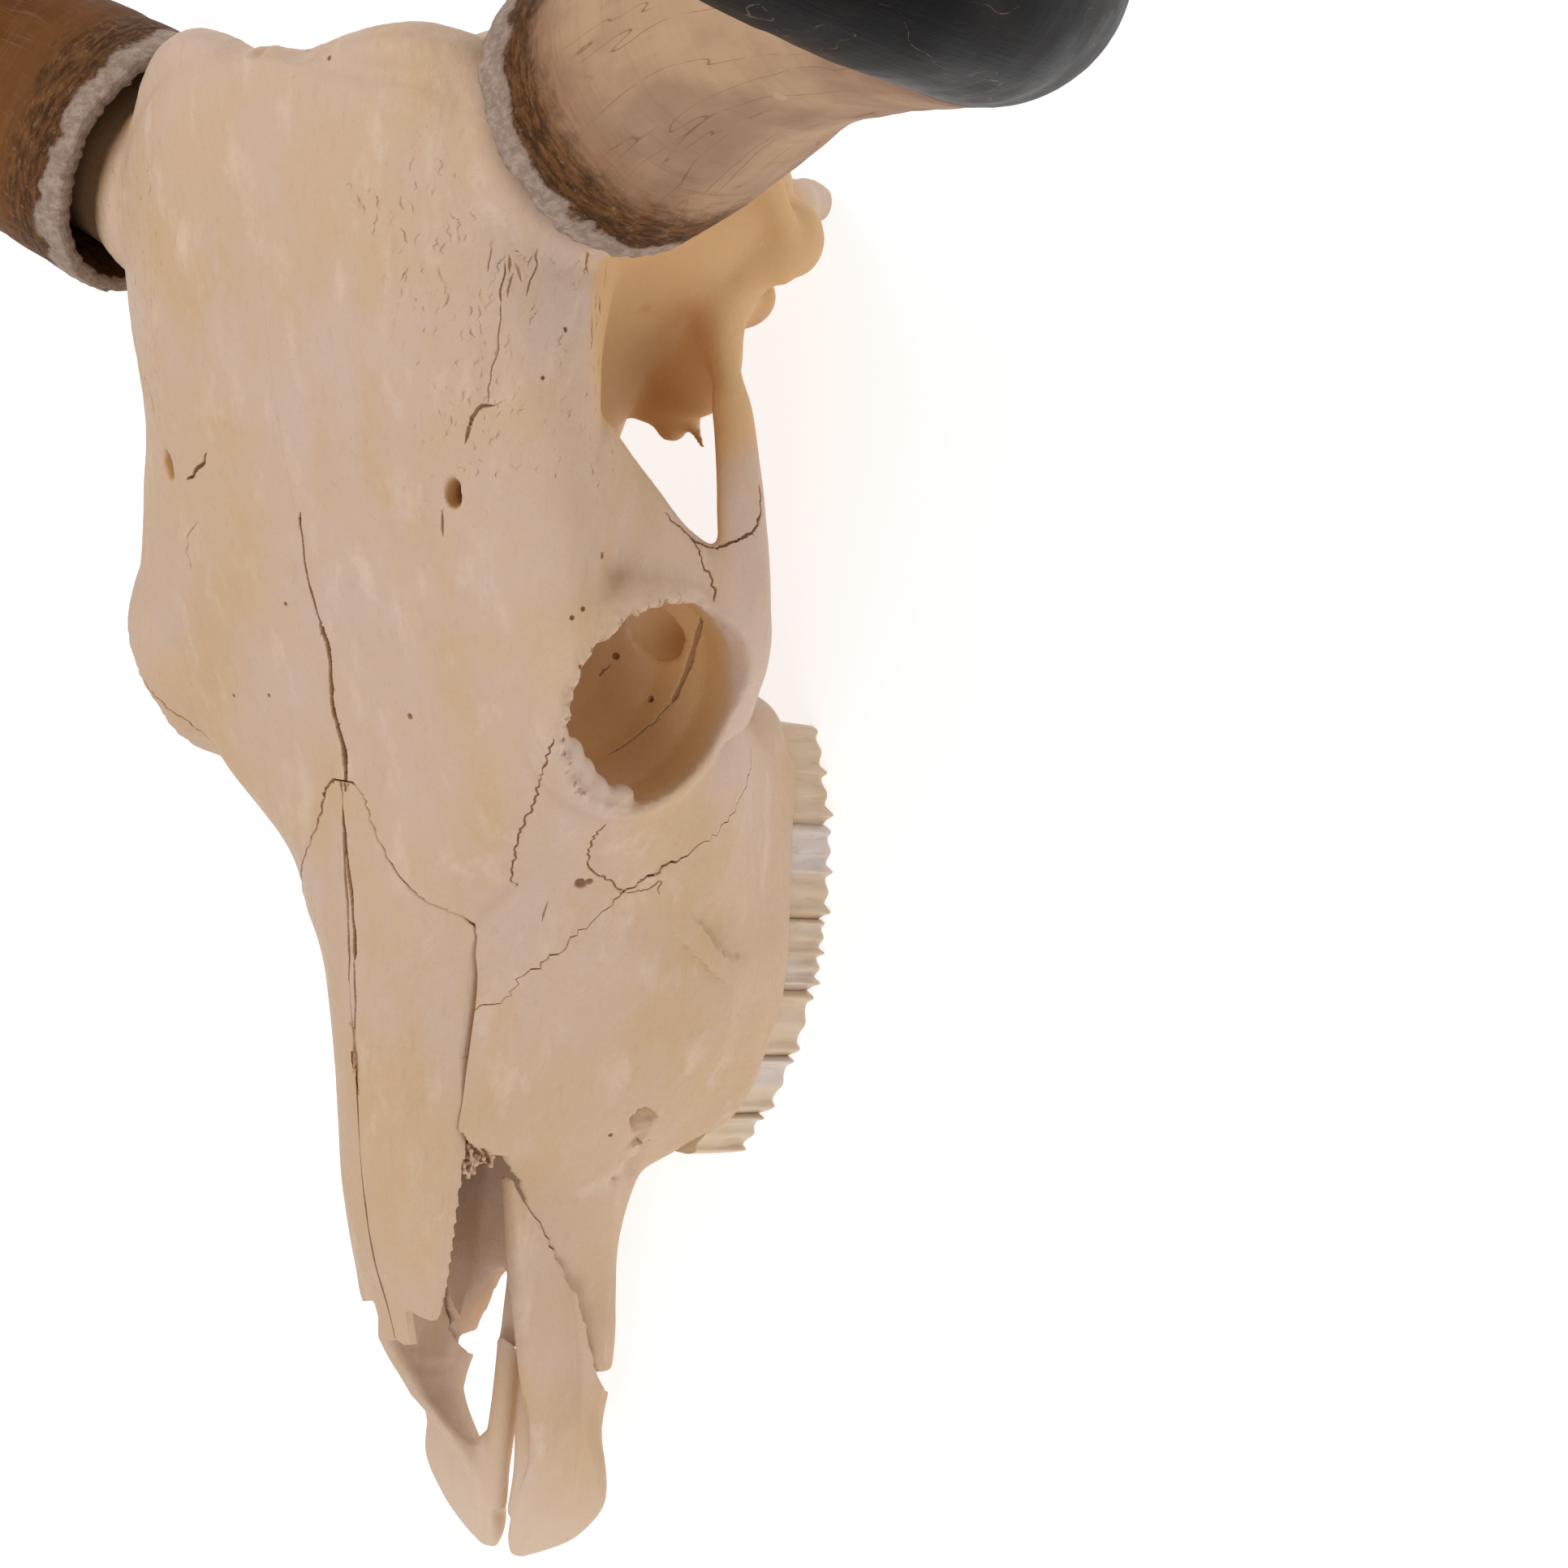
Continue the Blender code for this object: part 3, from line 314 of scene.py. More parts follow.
# Heights above the crown's bottom at which its outline is drawn.
CROWN_HEIGHTS = (TOOTH_ROOT_Z, 26.0, 22.0, 18.0, 14.0, 10.0, 6.0, 3.5, 1.8, 0.6, 0.0)
# Ribs of the cheek side: place along the crown, height and half width; and the worn pockets.
MOLAR_RIBS = ((0.11, 3.2, 0.045), (0.31, 1.9, 0.085), (0.53, 3.0, 0.045), (0.74, 1.7, 0.085),
              (0.95, 1.6, 0.05))
PREMOLAR_RIBS = ((0.12, 2.2, 0.07), (0.50, 1.7, 0.13), (0.90, 2.2, 0.06))
MOLAR_POCKETS = (0.28, 0.74)
PREMOLAR_POCKETS = (0.5,)
# How bluish white the front and rear half of each crown is; the rest is cream.
TOOTH_TINTS = {"P2": (0.15, 0.25), "P3": (0.3, 0.85), "P4": (0.2, 0.15), "M1": (0.5, 0.3),
               "M2": (0.15, 0.9), "M3": (0.2, 0.1)}

# Camera: place, its right, up and back directions, lens and the shift of the picture's middle.
CAMERA_PLACE = (826.0, 317.0, 1038.7)
CAMERA_RIGHT = Vector((0.76887, 0.12202, -0.62765))
CAMERA_UP = Vector((-0.09857, 0.99251, 0.07220))
CAMERA_BACK = Vector((0.63176, 0.00635, 0.77514))
CAMERA_LENS = 86.26
CAMERA_SHIFT = (0.0930, -0.0920)
# Lights: name, place, target, size, power and colour.
LIGHTS = (
    ("key", (-0.4, 0.5, 2.0), (0, 0, 0.1), 0.9, 12.0, (1.0, 0.99, 0.97)),
    ("fill", (0.8, -1.3, 1.3), (0, -0.1, 0.1), 1.1, 9.0, (1.0, 0.98, 0.95)),
    ("rear", (-0.3, 1.0, 1.6), (0, 0.2, 0.2), 0.8, 3.0, (1.0, 0.99, 0.97)),
)
# Strength of the white surroundings, and the floor's own glow and colour.
WORLD_STRENGTH = 0.56
FLOOR_GLOW = 0.72
FLOOR_GREY = (0.50, 0.50, 0.50, 1.0)
WHITE = (1.0, 1.0, 1.0, 1.0)

# Colours, as linear values.
BONE_CREAM = (0.555, 0.378, 0.248, 1.0)
BONE_PINK = (0.550, 0.395, 0.305, 1.0)
BONE_YELLOW = (0.530, 0.345, 0.185, 1.0)
BONE_PALE = (0.680, 0.525, 0.405, 1.0)
BONE_SPECK = (0.400, 0.265, 0.170, 1.0)
# Painted warm shade for the hollows and undersides that bones and horns hide from the surroundings.
BONE_HOLLOW_SHADE = (0.600, 0.350, 0.150, 1.0)
# Painted shade of the horn cores inside the sheaths.
BONE_CORE_SHADE = (0.110, 0.050, 0.022, 1.0)
# Seam colours: dirt in the joints, and painted shade in the cracks, slits and pits.
BONE_SEAM_DARK_AND_SHADE = (0.120, 0.048, 0.018, 1.0)
BONE_SEAM_STAIN_AND_SHADE = (0.340, 0.175, 0.080, 1.0)
ENAMEL_CREAM = (0.600, 0.440, 0.270, 1.0)
ENAMEL_WHITE = (0.610, 0.520, 0.480, 1.0)
ENAMEL_STAIN = (0.380, 0.240, 0.120, 1.0)
HORN_TAN = (0.470, 0.305, 0.190, 1.0)
HORN_PINK = (0.330, 0.200, 0.130, 1.0)
HORN_LINE = (0.190, 0.100, 0.055, 1.0)
HORN_GREY = (0.300, 0.200, 0.150, 1.0)
HORN_DARK = (0.055, 0.026, 0.012, 1.0)
HORN_RUST = (0.200, 0.085, 0.030, 1.0)
HORN_RIM = (0.470, 0.350, 0.285, 1.0)
HORN_RIM_DARK = (0.330, 0.235, 0.185, 1.0)
HORN_PALE = (0.480, 0.340, 0.260, 1.0)
HORN_BROWN = (0.150, 0.052, 0.014, 1.0)
HORN_UMBER = (0.090, 0.030, 0.009, 1.0)
HORN_RED = (0.240, 0.130, 0.085, 1.0)
HORN_BLACK = (0.004, 0.003, 0.003, 1.0)
HORN_SMOKE = (0.022, 0.016, 0.013, 1.0)
HORN_INSIDE = (0.160, 0.085, 0.045, 1.0)
# How hidden a place is where its colour starts to turn to painted shade, and where it has turned.
HOLLOW_SHADE_LIMITS = (0.30, 0.85)
# Muzzle's paler front in metres along Y.
PALE_FRONT = (-0.275, -0.215)
# Distance from the rim at which each side's horn turns black.
BLACK_FROM = {1: 232.0, -1: 150.0}
# Worn oval spot of the horn, in the coordinates of its grain, and how it is stretched.
HORN_SCAR = (15.8, -36.1, 133.9)
HORN_SCAR_STRETCH = (0.55, 0.55, 0.31)
# Height of the knobs round the orbit's rim.
RIM_KNOBS = 1.5
# Uneven back of the head: how far back it starts, and the height of its broad and fine waves.
NECK_FACE = (432.0, 456.0)
NECK_WAVES = (1.6, 0.6)
# Heights below which the surface keeps still, so that nothing sinks under the floor.
CLEAR_OF_FLOOR = (1.0, 6.0)
# Places under the horns that get painted shade: centre, radii and strength; the painted shade ends between
# the two heights.
SHADE_UNDER_HORNS = (((70, 434, 122), (64, 84, 84), 0.9), ((60, 390, 105), (50, 45, 45), 0.8))
SHADE_UNDER_HORNS_TOP = (176.0, 194.0)
# Y between which the painted shade of the muzzle's hollows turns from half to full strength.
FRONT_HOLLOW_SHADE = (120.0, 190.0)
# Spongy remnant in the nose: centre, radii and how many balls it has.
SPONGE = ((21, 135, 106), (8, 8, 10))
SPONGE_BALLS = 110
# Distance along the horn's axis over which the core turns to painted shade.
CORE_SHADE_FROM = (-16.0, -2.0)
# Grid of the sky field: lower corner, cells along each axis, and the size of a cell.
SKY_LOW = np.array((-180.0, -30.0, -10.0))
SKY_SHAPE = (90, 134, 70)
SKY_CELL = 4.0
# Cell in which the samples of cracks and forms are looked up.
NEAR_CELL = 5.0
# Edge angle above which the shading breaks.
SHARP_ANGLE = math.radians(55)
UP = (0, 0, 1)
REARWARD = (0, 1, 0)

# All limbs of one side, each with the direction that its height follows.
LIMBS = (
    (ARCH_PATH, ARCH_HEIGHTS, ARCH_WIDTHS, UP),
    (ORBIT_BAR, ORBIT_BAR_HEIGHTS, ORBIT_BAR_WIDTHS, REARWARD),
    (ARCH_FOOT, ARCH_FOOT_HEIGHTS, ARCH_FOOT_WIDTHS, UP),
    (FOSSA_SPIKE, FOSSA_SPIKE_RADII, FOSSA_SPIKE_RADII, UP),
    (CHEEK_RIDGE, CHEEK_RIDGE_RADII, CHEEK_RIDGE_RADII, UP),
    (NECK_CREST, NECK_CREST_RADII, NECK_CREST_RADII, REARWARD),
    (POLL_RIDGE, POLL_RIDGE_RADII, POLL_RIDGE_RADII, UP),
    (NECK_PROCESS, NECK_PROCESS_RADII, [r * 0.75 for r in NECK_PROCESS_RADII], REARWARD),
    (PTERYGOID_PLATE, PTERYGOID_HEIGHTS, [PTERYGOID_WIDTH] * 3, UP),
)


def to_world(point):
    """Millimetres from the muzzle's tip to metres about the middle of the footprint."""
    return Vector((point[0] * MM, (point[1] - MIDDLE_Y) * MM, point[2] * MM))


def from_world(point):
    """Metres about the middle of the footprint to millimetres from the muzzle's tip."""
    return (point.x / MM, point.y / MM + MIDDLE_Y, point.z / MM)


def ramp(value, limits):
    """0 below the first limit, 1 above the second, smooth in between; numbers or arrays."""
    t = np.clip((value - limits[0]) / (limits[1] - limits[0]), 0.0, 1.0)
    return t * t * (3 - 2 * t)


def mirrored(point):
    """A point's place on the other side of the midline."""
    return (-point[0], point[1], point[2])


def on_side(point, side):
    """A point of the left side, or its mirror image for the right side."""
    return tuple(point) if side > 0 else mirrored(point)


def path_on_side(path, side):
    """A path of the left side, or its mirror image for the right side."""
    return [on_side(p, side) for p in path]


def horn_point(point, side):
    """A point of the left horn, or its place on the right horn."""
    if side > 0:
        return Vector(point)
    return Vector(mirrored(point)) + RIGHT_HORN_SHIFT


def horn_axis(side):
    """Middle of the horn's open base and the way in which the horn leaves it."""
    base, second = [horn_point(p, side) for p in HORN_PATH[:2]]
    return base, (second - base).normalized()


def orbit_frame(side):
    """Middle of the orbit's rim and the way in which the orbit looks."""
    return Vector(on_side(ORBIT_RIM, side)), Vector(on_side(ORBIT_LOOKS, side))


def spline(values, t):
    """Point at parameter t on a Catmull-Rom curve through equal steps of values."""
    last = len(values) - 1
    k = min(int(t), last - 1)
    f = t - k
    p1 = Vector(values[k])
    p2 = Vector(values[k + 1])
    p0 = Vector(values[k - 1]) if k > 0 else p1 * 2 - p2
    p3 = Vector(values[k + 2]) if k + 2 <= last else p2 * 2 - p1
    return 0.5 * (2 * p1 + (p2 - p0) * f + (2 * p0 - 5 * p1 + 4 * p2 - p3) * f * f
                  + (3 * p1 - p0 - 3 * p2 + p3) * f * f * f)


def sampled(path, spacing):
    """Points about spacing apart along the smooth curve through path."""
    points = [Vector(path[0])]
    for k in range(len(path) - 1):
        length = (Vector(path[k + 1]) - Vector(path[k])).length
        count = max(1, round(length / spacing))
        points += [spline(path, k + (i + 1) / count) for i in range(count)]
    return points


def cross_frame(path, t, up):
    """Directions along the smooth curve at t, and across it sideways and upward."""
    ahead = spline(path, min(t + 0.1, len(path) - 1)) - spline(path, max(t - 0.1, 0))
    along = ahead.normalized()
    side = along.cross(Vector(up)).normalized()
    return along, side, side.cross(along).normalized()


def full_turn(sides):
    """Angles of equal steps round a circle."""
    return [2 * math.pi * i / sides for i in range(sides)]


def add_loft(bm, rings):
    """Closed shell through rings of equal count, with flat ends."""
    loops = [[bm.verts.new(to_world(p)) for p in ring] for ring in rings]
    count = len(loops[0])
    for first, second in zip(loops, loops[1:]):
        for k in range(count):
            n = (k + 1) % count
            bm.faces.new((first[k], first[n], second[n]))
            bm.faces.new((first[k], second[n], second[k]))
    bm.faces.new(loops[0][::-1])
    bm.faces.new(loops[-1])


def section_rings(sections, steps=SECTION_STEPS):
    """Rings through mirrored half sections; the outline and the way along Y are both smoothed."""
    stations = sorted(sections)
    rings = []
    for k in range((len(stations) - 1) * steps + 1):
        t = k / steps
        y = spline([(s, 0, 0) for s in stations], t)[0]
        half = [spline([(*sections[s][j], 0) for s in stations], t) for j in range(SECTION_POINTS)]
        side = [spline(half, i / steps) for i in range((SECTION_POINTS - 1) * steps + 1)]
        ring = [(p[0], y, p[1]) for p in side]
        rings.append(ring + [(-p[0], y, p[1]) for p in side[-2:0:-1]])
    return rings


def limb_rings(path, heights, widths, sides=24, steps=6, up=UP):
    """Rings of a rounded limb with its own half height and half width at each point."""
    rings = []
    sizes = [(h, w, 0) for h, w in zip(heights, widths)]
    for k in range((len(path) - 1) * steps + 1):
        t = k / steps
        _, side, rise = cross_frame(path, t, up)
        here = spline(path, t)
        half_height, half_width, _ = spline(sizes, t)
        rings.append([here + side * half_width * math.cos(a) + rise * half_height * math.sin(a)
                      for a in full_turn(sides)])
    return rings


def turned_rings(base, axis, profile, sides=48):
    """Rings about an axis through base; profile gives (distance, radius)."""
    side = axis.cross(Vector(UP)).normalized()
    rise = side.cross(axis).normalized()
    return [[base + axis * d + (side * math.cos(a) + rise * math.sin(a)) * r for a in full_turn(sides)]
            for d, r in profile]


def ball_rings(centre, radii, sides=36, rows=18):
    """Rings of a ball with its own radius along each axis, with small flat poles."""
    rings = []
    for k in range(rows + 1):
        tilt = math.pi * (0.02 + 0.96 * k / rows)
        wide = math.sin(tilt)
        rings.append([(centre[0] + radii[0] * wide * math.cos(a),
                       centre[1] + radii[1] * wide * math.sin(a),
                       centre[2] - radii[2] * math.cos(tilt)) for a in full_turn(sides)])
    return rings


def placed(name, data):
    """A new object in the scene with the given data."""
    piece = bpy.data.objects.new(name, data)
    bpy.context.scene.collection.objects.link(piece)
    return piece


def mesh_object(name, bm):
    """Object from a finished bmesh, with its faces turned outward."""
    bmesh.ops.recalc_face_normals(bm, faces=bm.faces)
    mesh = bpy.data.meshes.new(name)
    bm.to_mesh(mesh)
    bm.free()
    return placed(name, mesh)


def shell_object(name, *shells):
    """Object from closed shells, each given by its rings."""
    bm = bmesh.new()
    for rings in shells:
        add_loft(bm, rings)
    return mesh_object(name, bm)


def prism(name, outline, span=(-FAR, FAR)):
    """Straight block with a side-view outline of (Y, Z) points, over a span of X."""
    return shell_object(name, [[(x, y, z) for y, z in outline] for x in span])


def slab(name, plan, heights, side=1):
    """Straight block with a plan of (X, Y) points between two heights."""
    return shell_object(name, [[(side * x, y, z) for x, y in plan] for z in heights])


def square(low, high):
    """Corners of a square that has the same limits on both axes."""
    return ((low, low), (high, low), (high, high), (low, high))


def half_space(side):
    """All space on one side of the midline, but for half of its gap."""
    return prism("half_space", square(-FAR, FAR * 2), (side * MIDLINE_GAP / 2, side * FAR))


def bake(piece):
    """Replace an object's mesh by the result of its modifiers."""
    graph = bpy.context.evaluated_depsgraph_get()
    mesh = bpy.data.meshes.new_from_object(piece.evaluated_get(graph))
    piece.modifiers.clear()
    old = piece.data
    piece.data = mesh
    bpy.data.meshes.remove(old)


def remesh(piece, voxel, rounds):
    """Fuse a piece's shells into one surface with the given cell, then smooth it."""
    fuse = piece.modifiers.new("fuse", "REMESH")
    fuse.mode = "VOXEL"
    fuse.voxel_size = voxel * MM
    if rounds:
        soften = piece.modifiers.new("soften", "SMOOTH")
        soften.factor = 0.5
        soften.iterations = rounds
    bake(piece)


def cut(piece, operation, others):
    """Join, cut or trim with closed helper objects, which are then removed."""
    for other in others:
        step = piece.modifiers.new(operation.lower(), "BOOLEAN")
        step.operation = operation
        step.solver = "MANIFOLD"
        step.object = other
    bake(piece)
    for other in others:
        bpy.data.objects.remove(other, do_unlink=True)


def keep_largest(piece):
    """Keep only the largest connected surface."""
    bm = bmesh.new()
    bm.from_mesh(piece.data)
    mark = {}
    sizes = []
    for start in bm.verts:
        if start in mark:
            continue
        stack = [start]
        mark[start] = len(sizes)
        size = 0
        while stack:
            vert = stack.pop()
            size += 1
            for edge in vert.link_edges:
                other = edge.other_vert(vert)
                if other not in mark:
                    mark[other] = len(sizes)
                    stack.append(other)
        sizes.append(size)
    best = sizes.index(max(sizes))
    bmesh.ops.delete(bm, geom=[v for v, island in mark.items() if island != best], context="VERTS")
    bm.to_mesh(piece.data)
    bm.free()


def coordinates(mesh):
    """Vertex places of a mesh in millimetres, with Y from the muzzle's tip."""
    co = np.empty(len(mesh.vertices) * 3)
    mesh.vertices.foreach_get("co", co)
    co = co.reshape(-1, 3) / MM
    co[:, 1] += MIDDLE_Y
    return co


def set_coordinates(mesh, co):
    """Put places in millimetres back into a mesh."""
    out = co.copy()
    out[:, 1] -= MIDDLE_Y
    mesh.vertices.foreach_set("co", (out * MM).ravel())
    mesh.update()


def vertex_normals(mesh):
    """Normals of a mesh's vertices as rows."""
    normals = np.empty(len(mesh.vertices) * 3)
    mesh.vertex_normals.foreach_get("vector", normals)
    return normals.reshape(-1, 3)


def smoothed(mesh, co, weight, rounds):
    """Co moved towards the mean of the neighbours, where weight lets it."""
    edges = np.empty(len(mesh.edges) * 2, dtype=np.int64)
    mesh.edges.foreach_get("vertices", edges)
    edges = edges.reshape(-1, 2)
    if weight is not None:
        edges = edges[(weight[edges] > 0.001).any(axis=1)]
    a, b = edges.T
    count = np.bincount(a, minlength=len(co)) + np.bincount(b, minlength=len(co))
    count = np.maximum(count, 1)
    share = 0.5 if weight is None else (0.5 * weight)[:, None]
    for _ in range(rounds):
        mean = np.empty_like(co)
        for k in range(3):
            total = np.bincount(a, co[b, k], len(co)) + np.bincount(b, co[a, k], len(co))
            mean[:, k] = total / count
        co = co + (mean - co) * share
    return co


def lattice_noise(co, size, seed):
    """Smooth value noise between -1 and 1, with cells of the given size."""
    table = np.random.default_rng(seed).uniform(-1.0, 1.0, 4096)
    spots = co / size
    cell = np.floor(spots).astype(np.int64)
    f = spots - cell
    f = f * f * (3 - 2 * f)
    total = np.zeros(len(co))
    for dx, dy, dz in CORNERS:
        key = ((cell[:, 0] + dx) * 73856093 ^ (cell[:, 1] + dy) * 19349663
               ^ (cell[:, 2] + dz) * 83492791)
        share = np.where(dx, f[:, 0], 1 - f[:, 0])
        share = share * np.where(dy, f[:, 1], 1 - f[:, 1]) * np.where(dz, f[:, 2], 1 - f[:, 2])
        total += table[key & 4095] * share
    return total


def stretched_noise(co, stretch, size, seed):
    """Value noise on places that are stretched by a factor for each axis."""
    return lattice_noise(co * np.array(stretch), size, seed)


def skull_masses():
    """Rings of all closed shells that the bone is fused from."""
    shells = [section_rings(FACE_SECTIONS), section_rings(BRAIN_SECTIONS)]
    shells.append(limb_rings(BASE_BAR, BASE_BAR_RADII, BASE_BAR_RADII))
    for side, _ in SIDES:
        shells.append(turned_rings(*orbit_frame(side), ORBIT_WALL))
        base, second = [Vector(p) for p in path_on_side(HORN_PATH[:2], side)]
        shells.append(turned_rings(base, (second - base).normalized(), HORN_BASE))
        for centre, radii in ROUND_MASSES.values():
            shells.append(ball_rings(on_side(centre, side), radii))
        for path, heights, widths, up in LIMBS:
            shells.append(limb_rings(path_on_side(path, side), heights, widths, up=up))
    return shells


def cavity_rings(sides=48):
    """Rings of the nasal cavity, each a rounded rectangle."""
    rings = []
    for k in range((len(CAVITY_STATIONS) - 1) * 4 + 1):
        y, half, low = spline([s[:3] for s in CAVITY_STATIONS], k / 4)
        high = spline([(s[3], 0, 0) for s in CAVITY_STATIONS], k / 4)[0]
        ring = []
        for a in full_turn(sides):
            squash = max(abs(math.cos(a)), abs(math.sin(a))) ** 0.5
            z = (low + high) / 2 + (high - low) / 2 * math.sin(a) / squash
            ring.append((half * math.cos(a) / squash, y, z))
        rings.append(ring)
    return rings


# Openings that run into the bone, for the left side: path of the middle, half widths and how many
# times longer than wide they are along Y.
OPENINGS = (
    (((60, 145, 60), (56, 153, 63), (48, 168, 70)), (4.6, 4.4, 3.2), 1.0),
    (((64, 346, 206), (62, 347, 196), (57, 352, 182)), (2.5, 2.3, 1.8), 2.1),
    (((69, 366, 206), (67, 366, 198), (63, 366, 188)), (1.4, 1.3, 1.0), 1.0),
    (((72, 412, 128), (64, 412, 124), (56, 412, 122)), (1.6, 1.5, 1.2), 1.5),
    (((50, 128, 59), (46, 130, 60), (42, 132, 62)), (1.5, 1.4, 1.0), 1.0),
    (((66, 230, 121), (61, 232, 116), (58, 234, 110)), (1.9, 1.5, 0.9), 1.0),
    (((74, 290, 104), (64, 292, 102), (52, 296, 100)), (1.5, 1.4, 1.2), 1.0),
)


def opening_shells():
    """Rings of the canals and small openings of both sides."""
    return [limb_rings(path_on_side(path, side), [r * longer for r in radii], radii, sides=20, steps=4,
                       up=REARWARD) for path, radii, longer in OPENINGS for side, _ in SIDES]


def cutter_objects():
    """One closed helper for each opening, so that none of them crosses another inside one mesh."""
    cutters = []
    centre, radii = ORBIT_WINDOW
    plan = [p[:2] for p in sampled([(x, y, 0) for x, y in PALATE_FISSURE], 2.0)]
    for side, tag in SIDES:
        cutters.append(shell_object("socket_" + tag, turned_rings(*orbit_frame(side), ORBIT_SOCKET)))
        cutters.append(shell_object("window_" + tag, ball_rings(on_side(centre, side), radii)))
        cutters.append(slab("fissure_" + tag, plan, FISSURE_HEIGHTS, side))
    cutters.append(shell_object("foramen_magnum", ball_rings(FORAMEN_CENTRE, FORAMEN_RADII)))
    cutters.append(shell_object("choana", ball_rings(CHOANA_CENTRE, CHOANA_RADII)))
    cutters.append(shell_object("nasal_cavity", cavity_rings()))
    return cutters + [shell_object("opening", rings) for rings in opening_shells()]


def nasal_rings(grow, rise, stations, nose_gap=0.0, steps=24):
    """Rings of both nasal bones as one arched sheet, grown on all sides and raised for its seat."""
    rings = []
    for k in range((len(stations) - 1) * 6 + 1):
        y, half, top = spline([s[:3] for s in stations], k / 6)
        fall, thick, _ = spline([(s[3], s[4], 0) for s in stations], k / 6)
        half += float(ramp(y, (204, 214))) * (0.45 * math.sin(y * 3.1) + 0.3 * math.sin(y * 7.3 + 1.0))
        half -= nose_gap * float(ramp(y, (150, 172)) * (1 - ramp(y, (200, 212))))
        upper = []
        lower = []
        for i in range(steps + 1):
            across = 2 * i / steps - 1
            x = (half + grow) * across
            slope = 2 * fall * abs(across) / half
            arch = top - fall * across * across
            drop = grow * (math.sqrt(1 + slope * slope) + slope * abs(across))
            upper.append((x, y, arch + rise))
            lower.append((x, y, arch - thick - drop))
        rings.append(upper + lower[::-1])
    rings[-1] = [(x, y + grow, z) for x, y, z in rings[-1]]
    return rings


def sheath_room(side):
    """Rings of the room that the bone leaves free for the horn's sheath."""
    _, axis = horn_axis(side)
    path = [horn_point(p, side) for p in HORN_PATH[:4]]
    radii = [r + SHEATH_ROOM for r in HORN_RADII[:4]]
    return limb_rings([path[0] - axis * SHEATH_ROOM] + path[1:], radii, radii, sides=64, up=REARWARD)


def horn_core(side):
    """Rings of the bony core inside the sheath."""
    return turned_rings(*horn_axis(side), CORE_PROFILE, sides=64)


def lean_right(co):
    """Carry the bone round the right horn's base along with that horn."""
    share = ramp(-co[:, 0], SHIFT_ACROSS) * ramp(co[:, 1], SHIFT_ALONG) * ramp(co[:, 2], SHIFT_UP)
    return co + share[:, None] * np.array(RIGHT_HORN_SHIFT)


def flare_right(piece, across):
    """Carry the right side of the muzzle outward, and all but its foot up."""
    co = coordinates(piece.data)
    stations, amounts = zip(*RIGHT_FLARE)
    share = ramp(co[:, 1], FLARE_FRONT_Y)
    start, end = [front * (1 - share) + back * share for front, back in zip(*across)]
    amount = np.interp(co[:, 1], stations, amounts) * ramp(-co[:, 0], (start, end))
    rise = 0.25 + 0.75 * ramp(co[:, 2], FLARE_FOOT)
    co[:, 0] -= amount
    co[:, 2] += amount * rise
    set_coordinates(piece.data, co)


# Places where the fused masses flow into each other: centre, radius and rounds of smoothing.
BLENDS = (
    ((70, 446, 206), 44, 60),
    ((96, 322, 160), 34, 40),
    ((80, 262, 150), 34, 40),
    ((78, 408, 108), 30, 60),
    ((84, 430, 112), 30, 60),
    ((84, 414, 100), 20, 50),
    ((66, 402, 108), 36, 110),
    ((62, 440, 78), 32, 30),
    ((80, 250, 100), 26, 30),
    ((78, 212, 62), 30, 24),
    ((60, 168, 50), 24, 24),
    ((30, 462, 66), 26, 14),
    ((98, 292, 96), 20, 24),
    ((40, 300, 66), 34, 20),
    ((52, 474, 188), 42, 110),
)


def flow_together(piece):
    """Smooth the places where the masses meet, and carry the right side's bone along."""
    mesh = piece.data
    co = coordinates(mesh)
    for centre, radius, rounds in BLENDS:
        for side, _ in SIDES:
            away = np.linalg.norm(co - np.array(on_side(centre, side)), axis=1)
            co = smoothed(mesh, co, 1 - ramp(away, (radius * 0.45, radius)), rounds)
    centre, radius, way, distance = RIM_BULGE
    near = 1 - ramp(np.linalg.norm(co - np.array(centre), axis=1) / radius, (0.0, 1.0))
    co = co + near[:, None] * np.array(way) * distance
    set_coordinates(mesh, lean_right(co))


def added_forms():
    """Closed shells that are added to the hollowed bone: the orbit's lobes and the palate's shelves."""
    lobes = [shell_object("knob", ball_rings(on_side(centre, side), radii)) for side, _ in SIDES
             for centre, radii in (ORBIT_KNOB,) + ORBIT_LOBES]
    return lobes + [shell_object("shelf", limb_rings(path_on_side(PALATE_SHELF, side), SHELF_HEIGHTS,
                                                     SHELF_WIDTHS)) for side, _ in SIDES]


def nasal_roof(body):
    """Roof of the nose from both nasal bones, fused with the part of the forehead behind them."""
    roof = copy_of(body, "nasal_roof")
    region = shell_object("roof_region", nasal_rings(0.0, SEAT_RISE, NASAL_STATIONS[6:]))
    cut(roof, "INTERSECT", [region])
    cut(roof, "UNION", [shell_object("nasal_sheet", nasal_rings(0.0, 0.0, NASAL_STATIONS))])
    remesh(roof, PLATE_VOXEL, 4)
    return roof


def bone_body():
    """Cranium and upper jaws in one fused, smoothed and hollowed body, and the nose's roof."""
    body = shell_object("bone_body", *skull_masses())
    remesh(body, BONE_VOXEL, 8)
    flow_together(body)
    cut(body, "DIFFERENCE", cutter_objects())
    cut(body, "UNION", added_forms())
    remesh(body, BONE_VOXEL, 3)
    roof = nasal_roof(body)
    seat = shell_object("seat", nasal_rings(SUTURE_GAP, SEAT_RISE, NASAL_STATIONS))
    below = slab("under_floor", square(-FAR, FAR), (-FAR, FLOOR_TRIM))
    rooms = [shell_object("room_" + tag, sheath_room(side)) for side, tag in SIDES]
    cut(body, "DIFFERENCE", [seat, below] + rooms)
    cut(body, "UNION", [shell_object("core_" + tag, horn_core(side)) for side, tag in SIDES])
    keep_largest(body)
    return body, roof


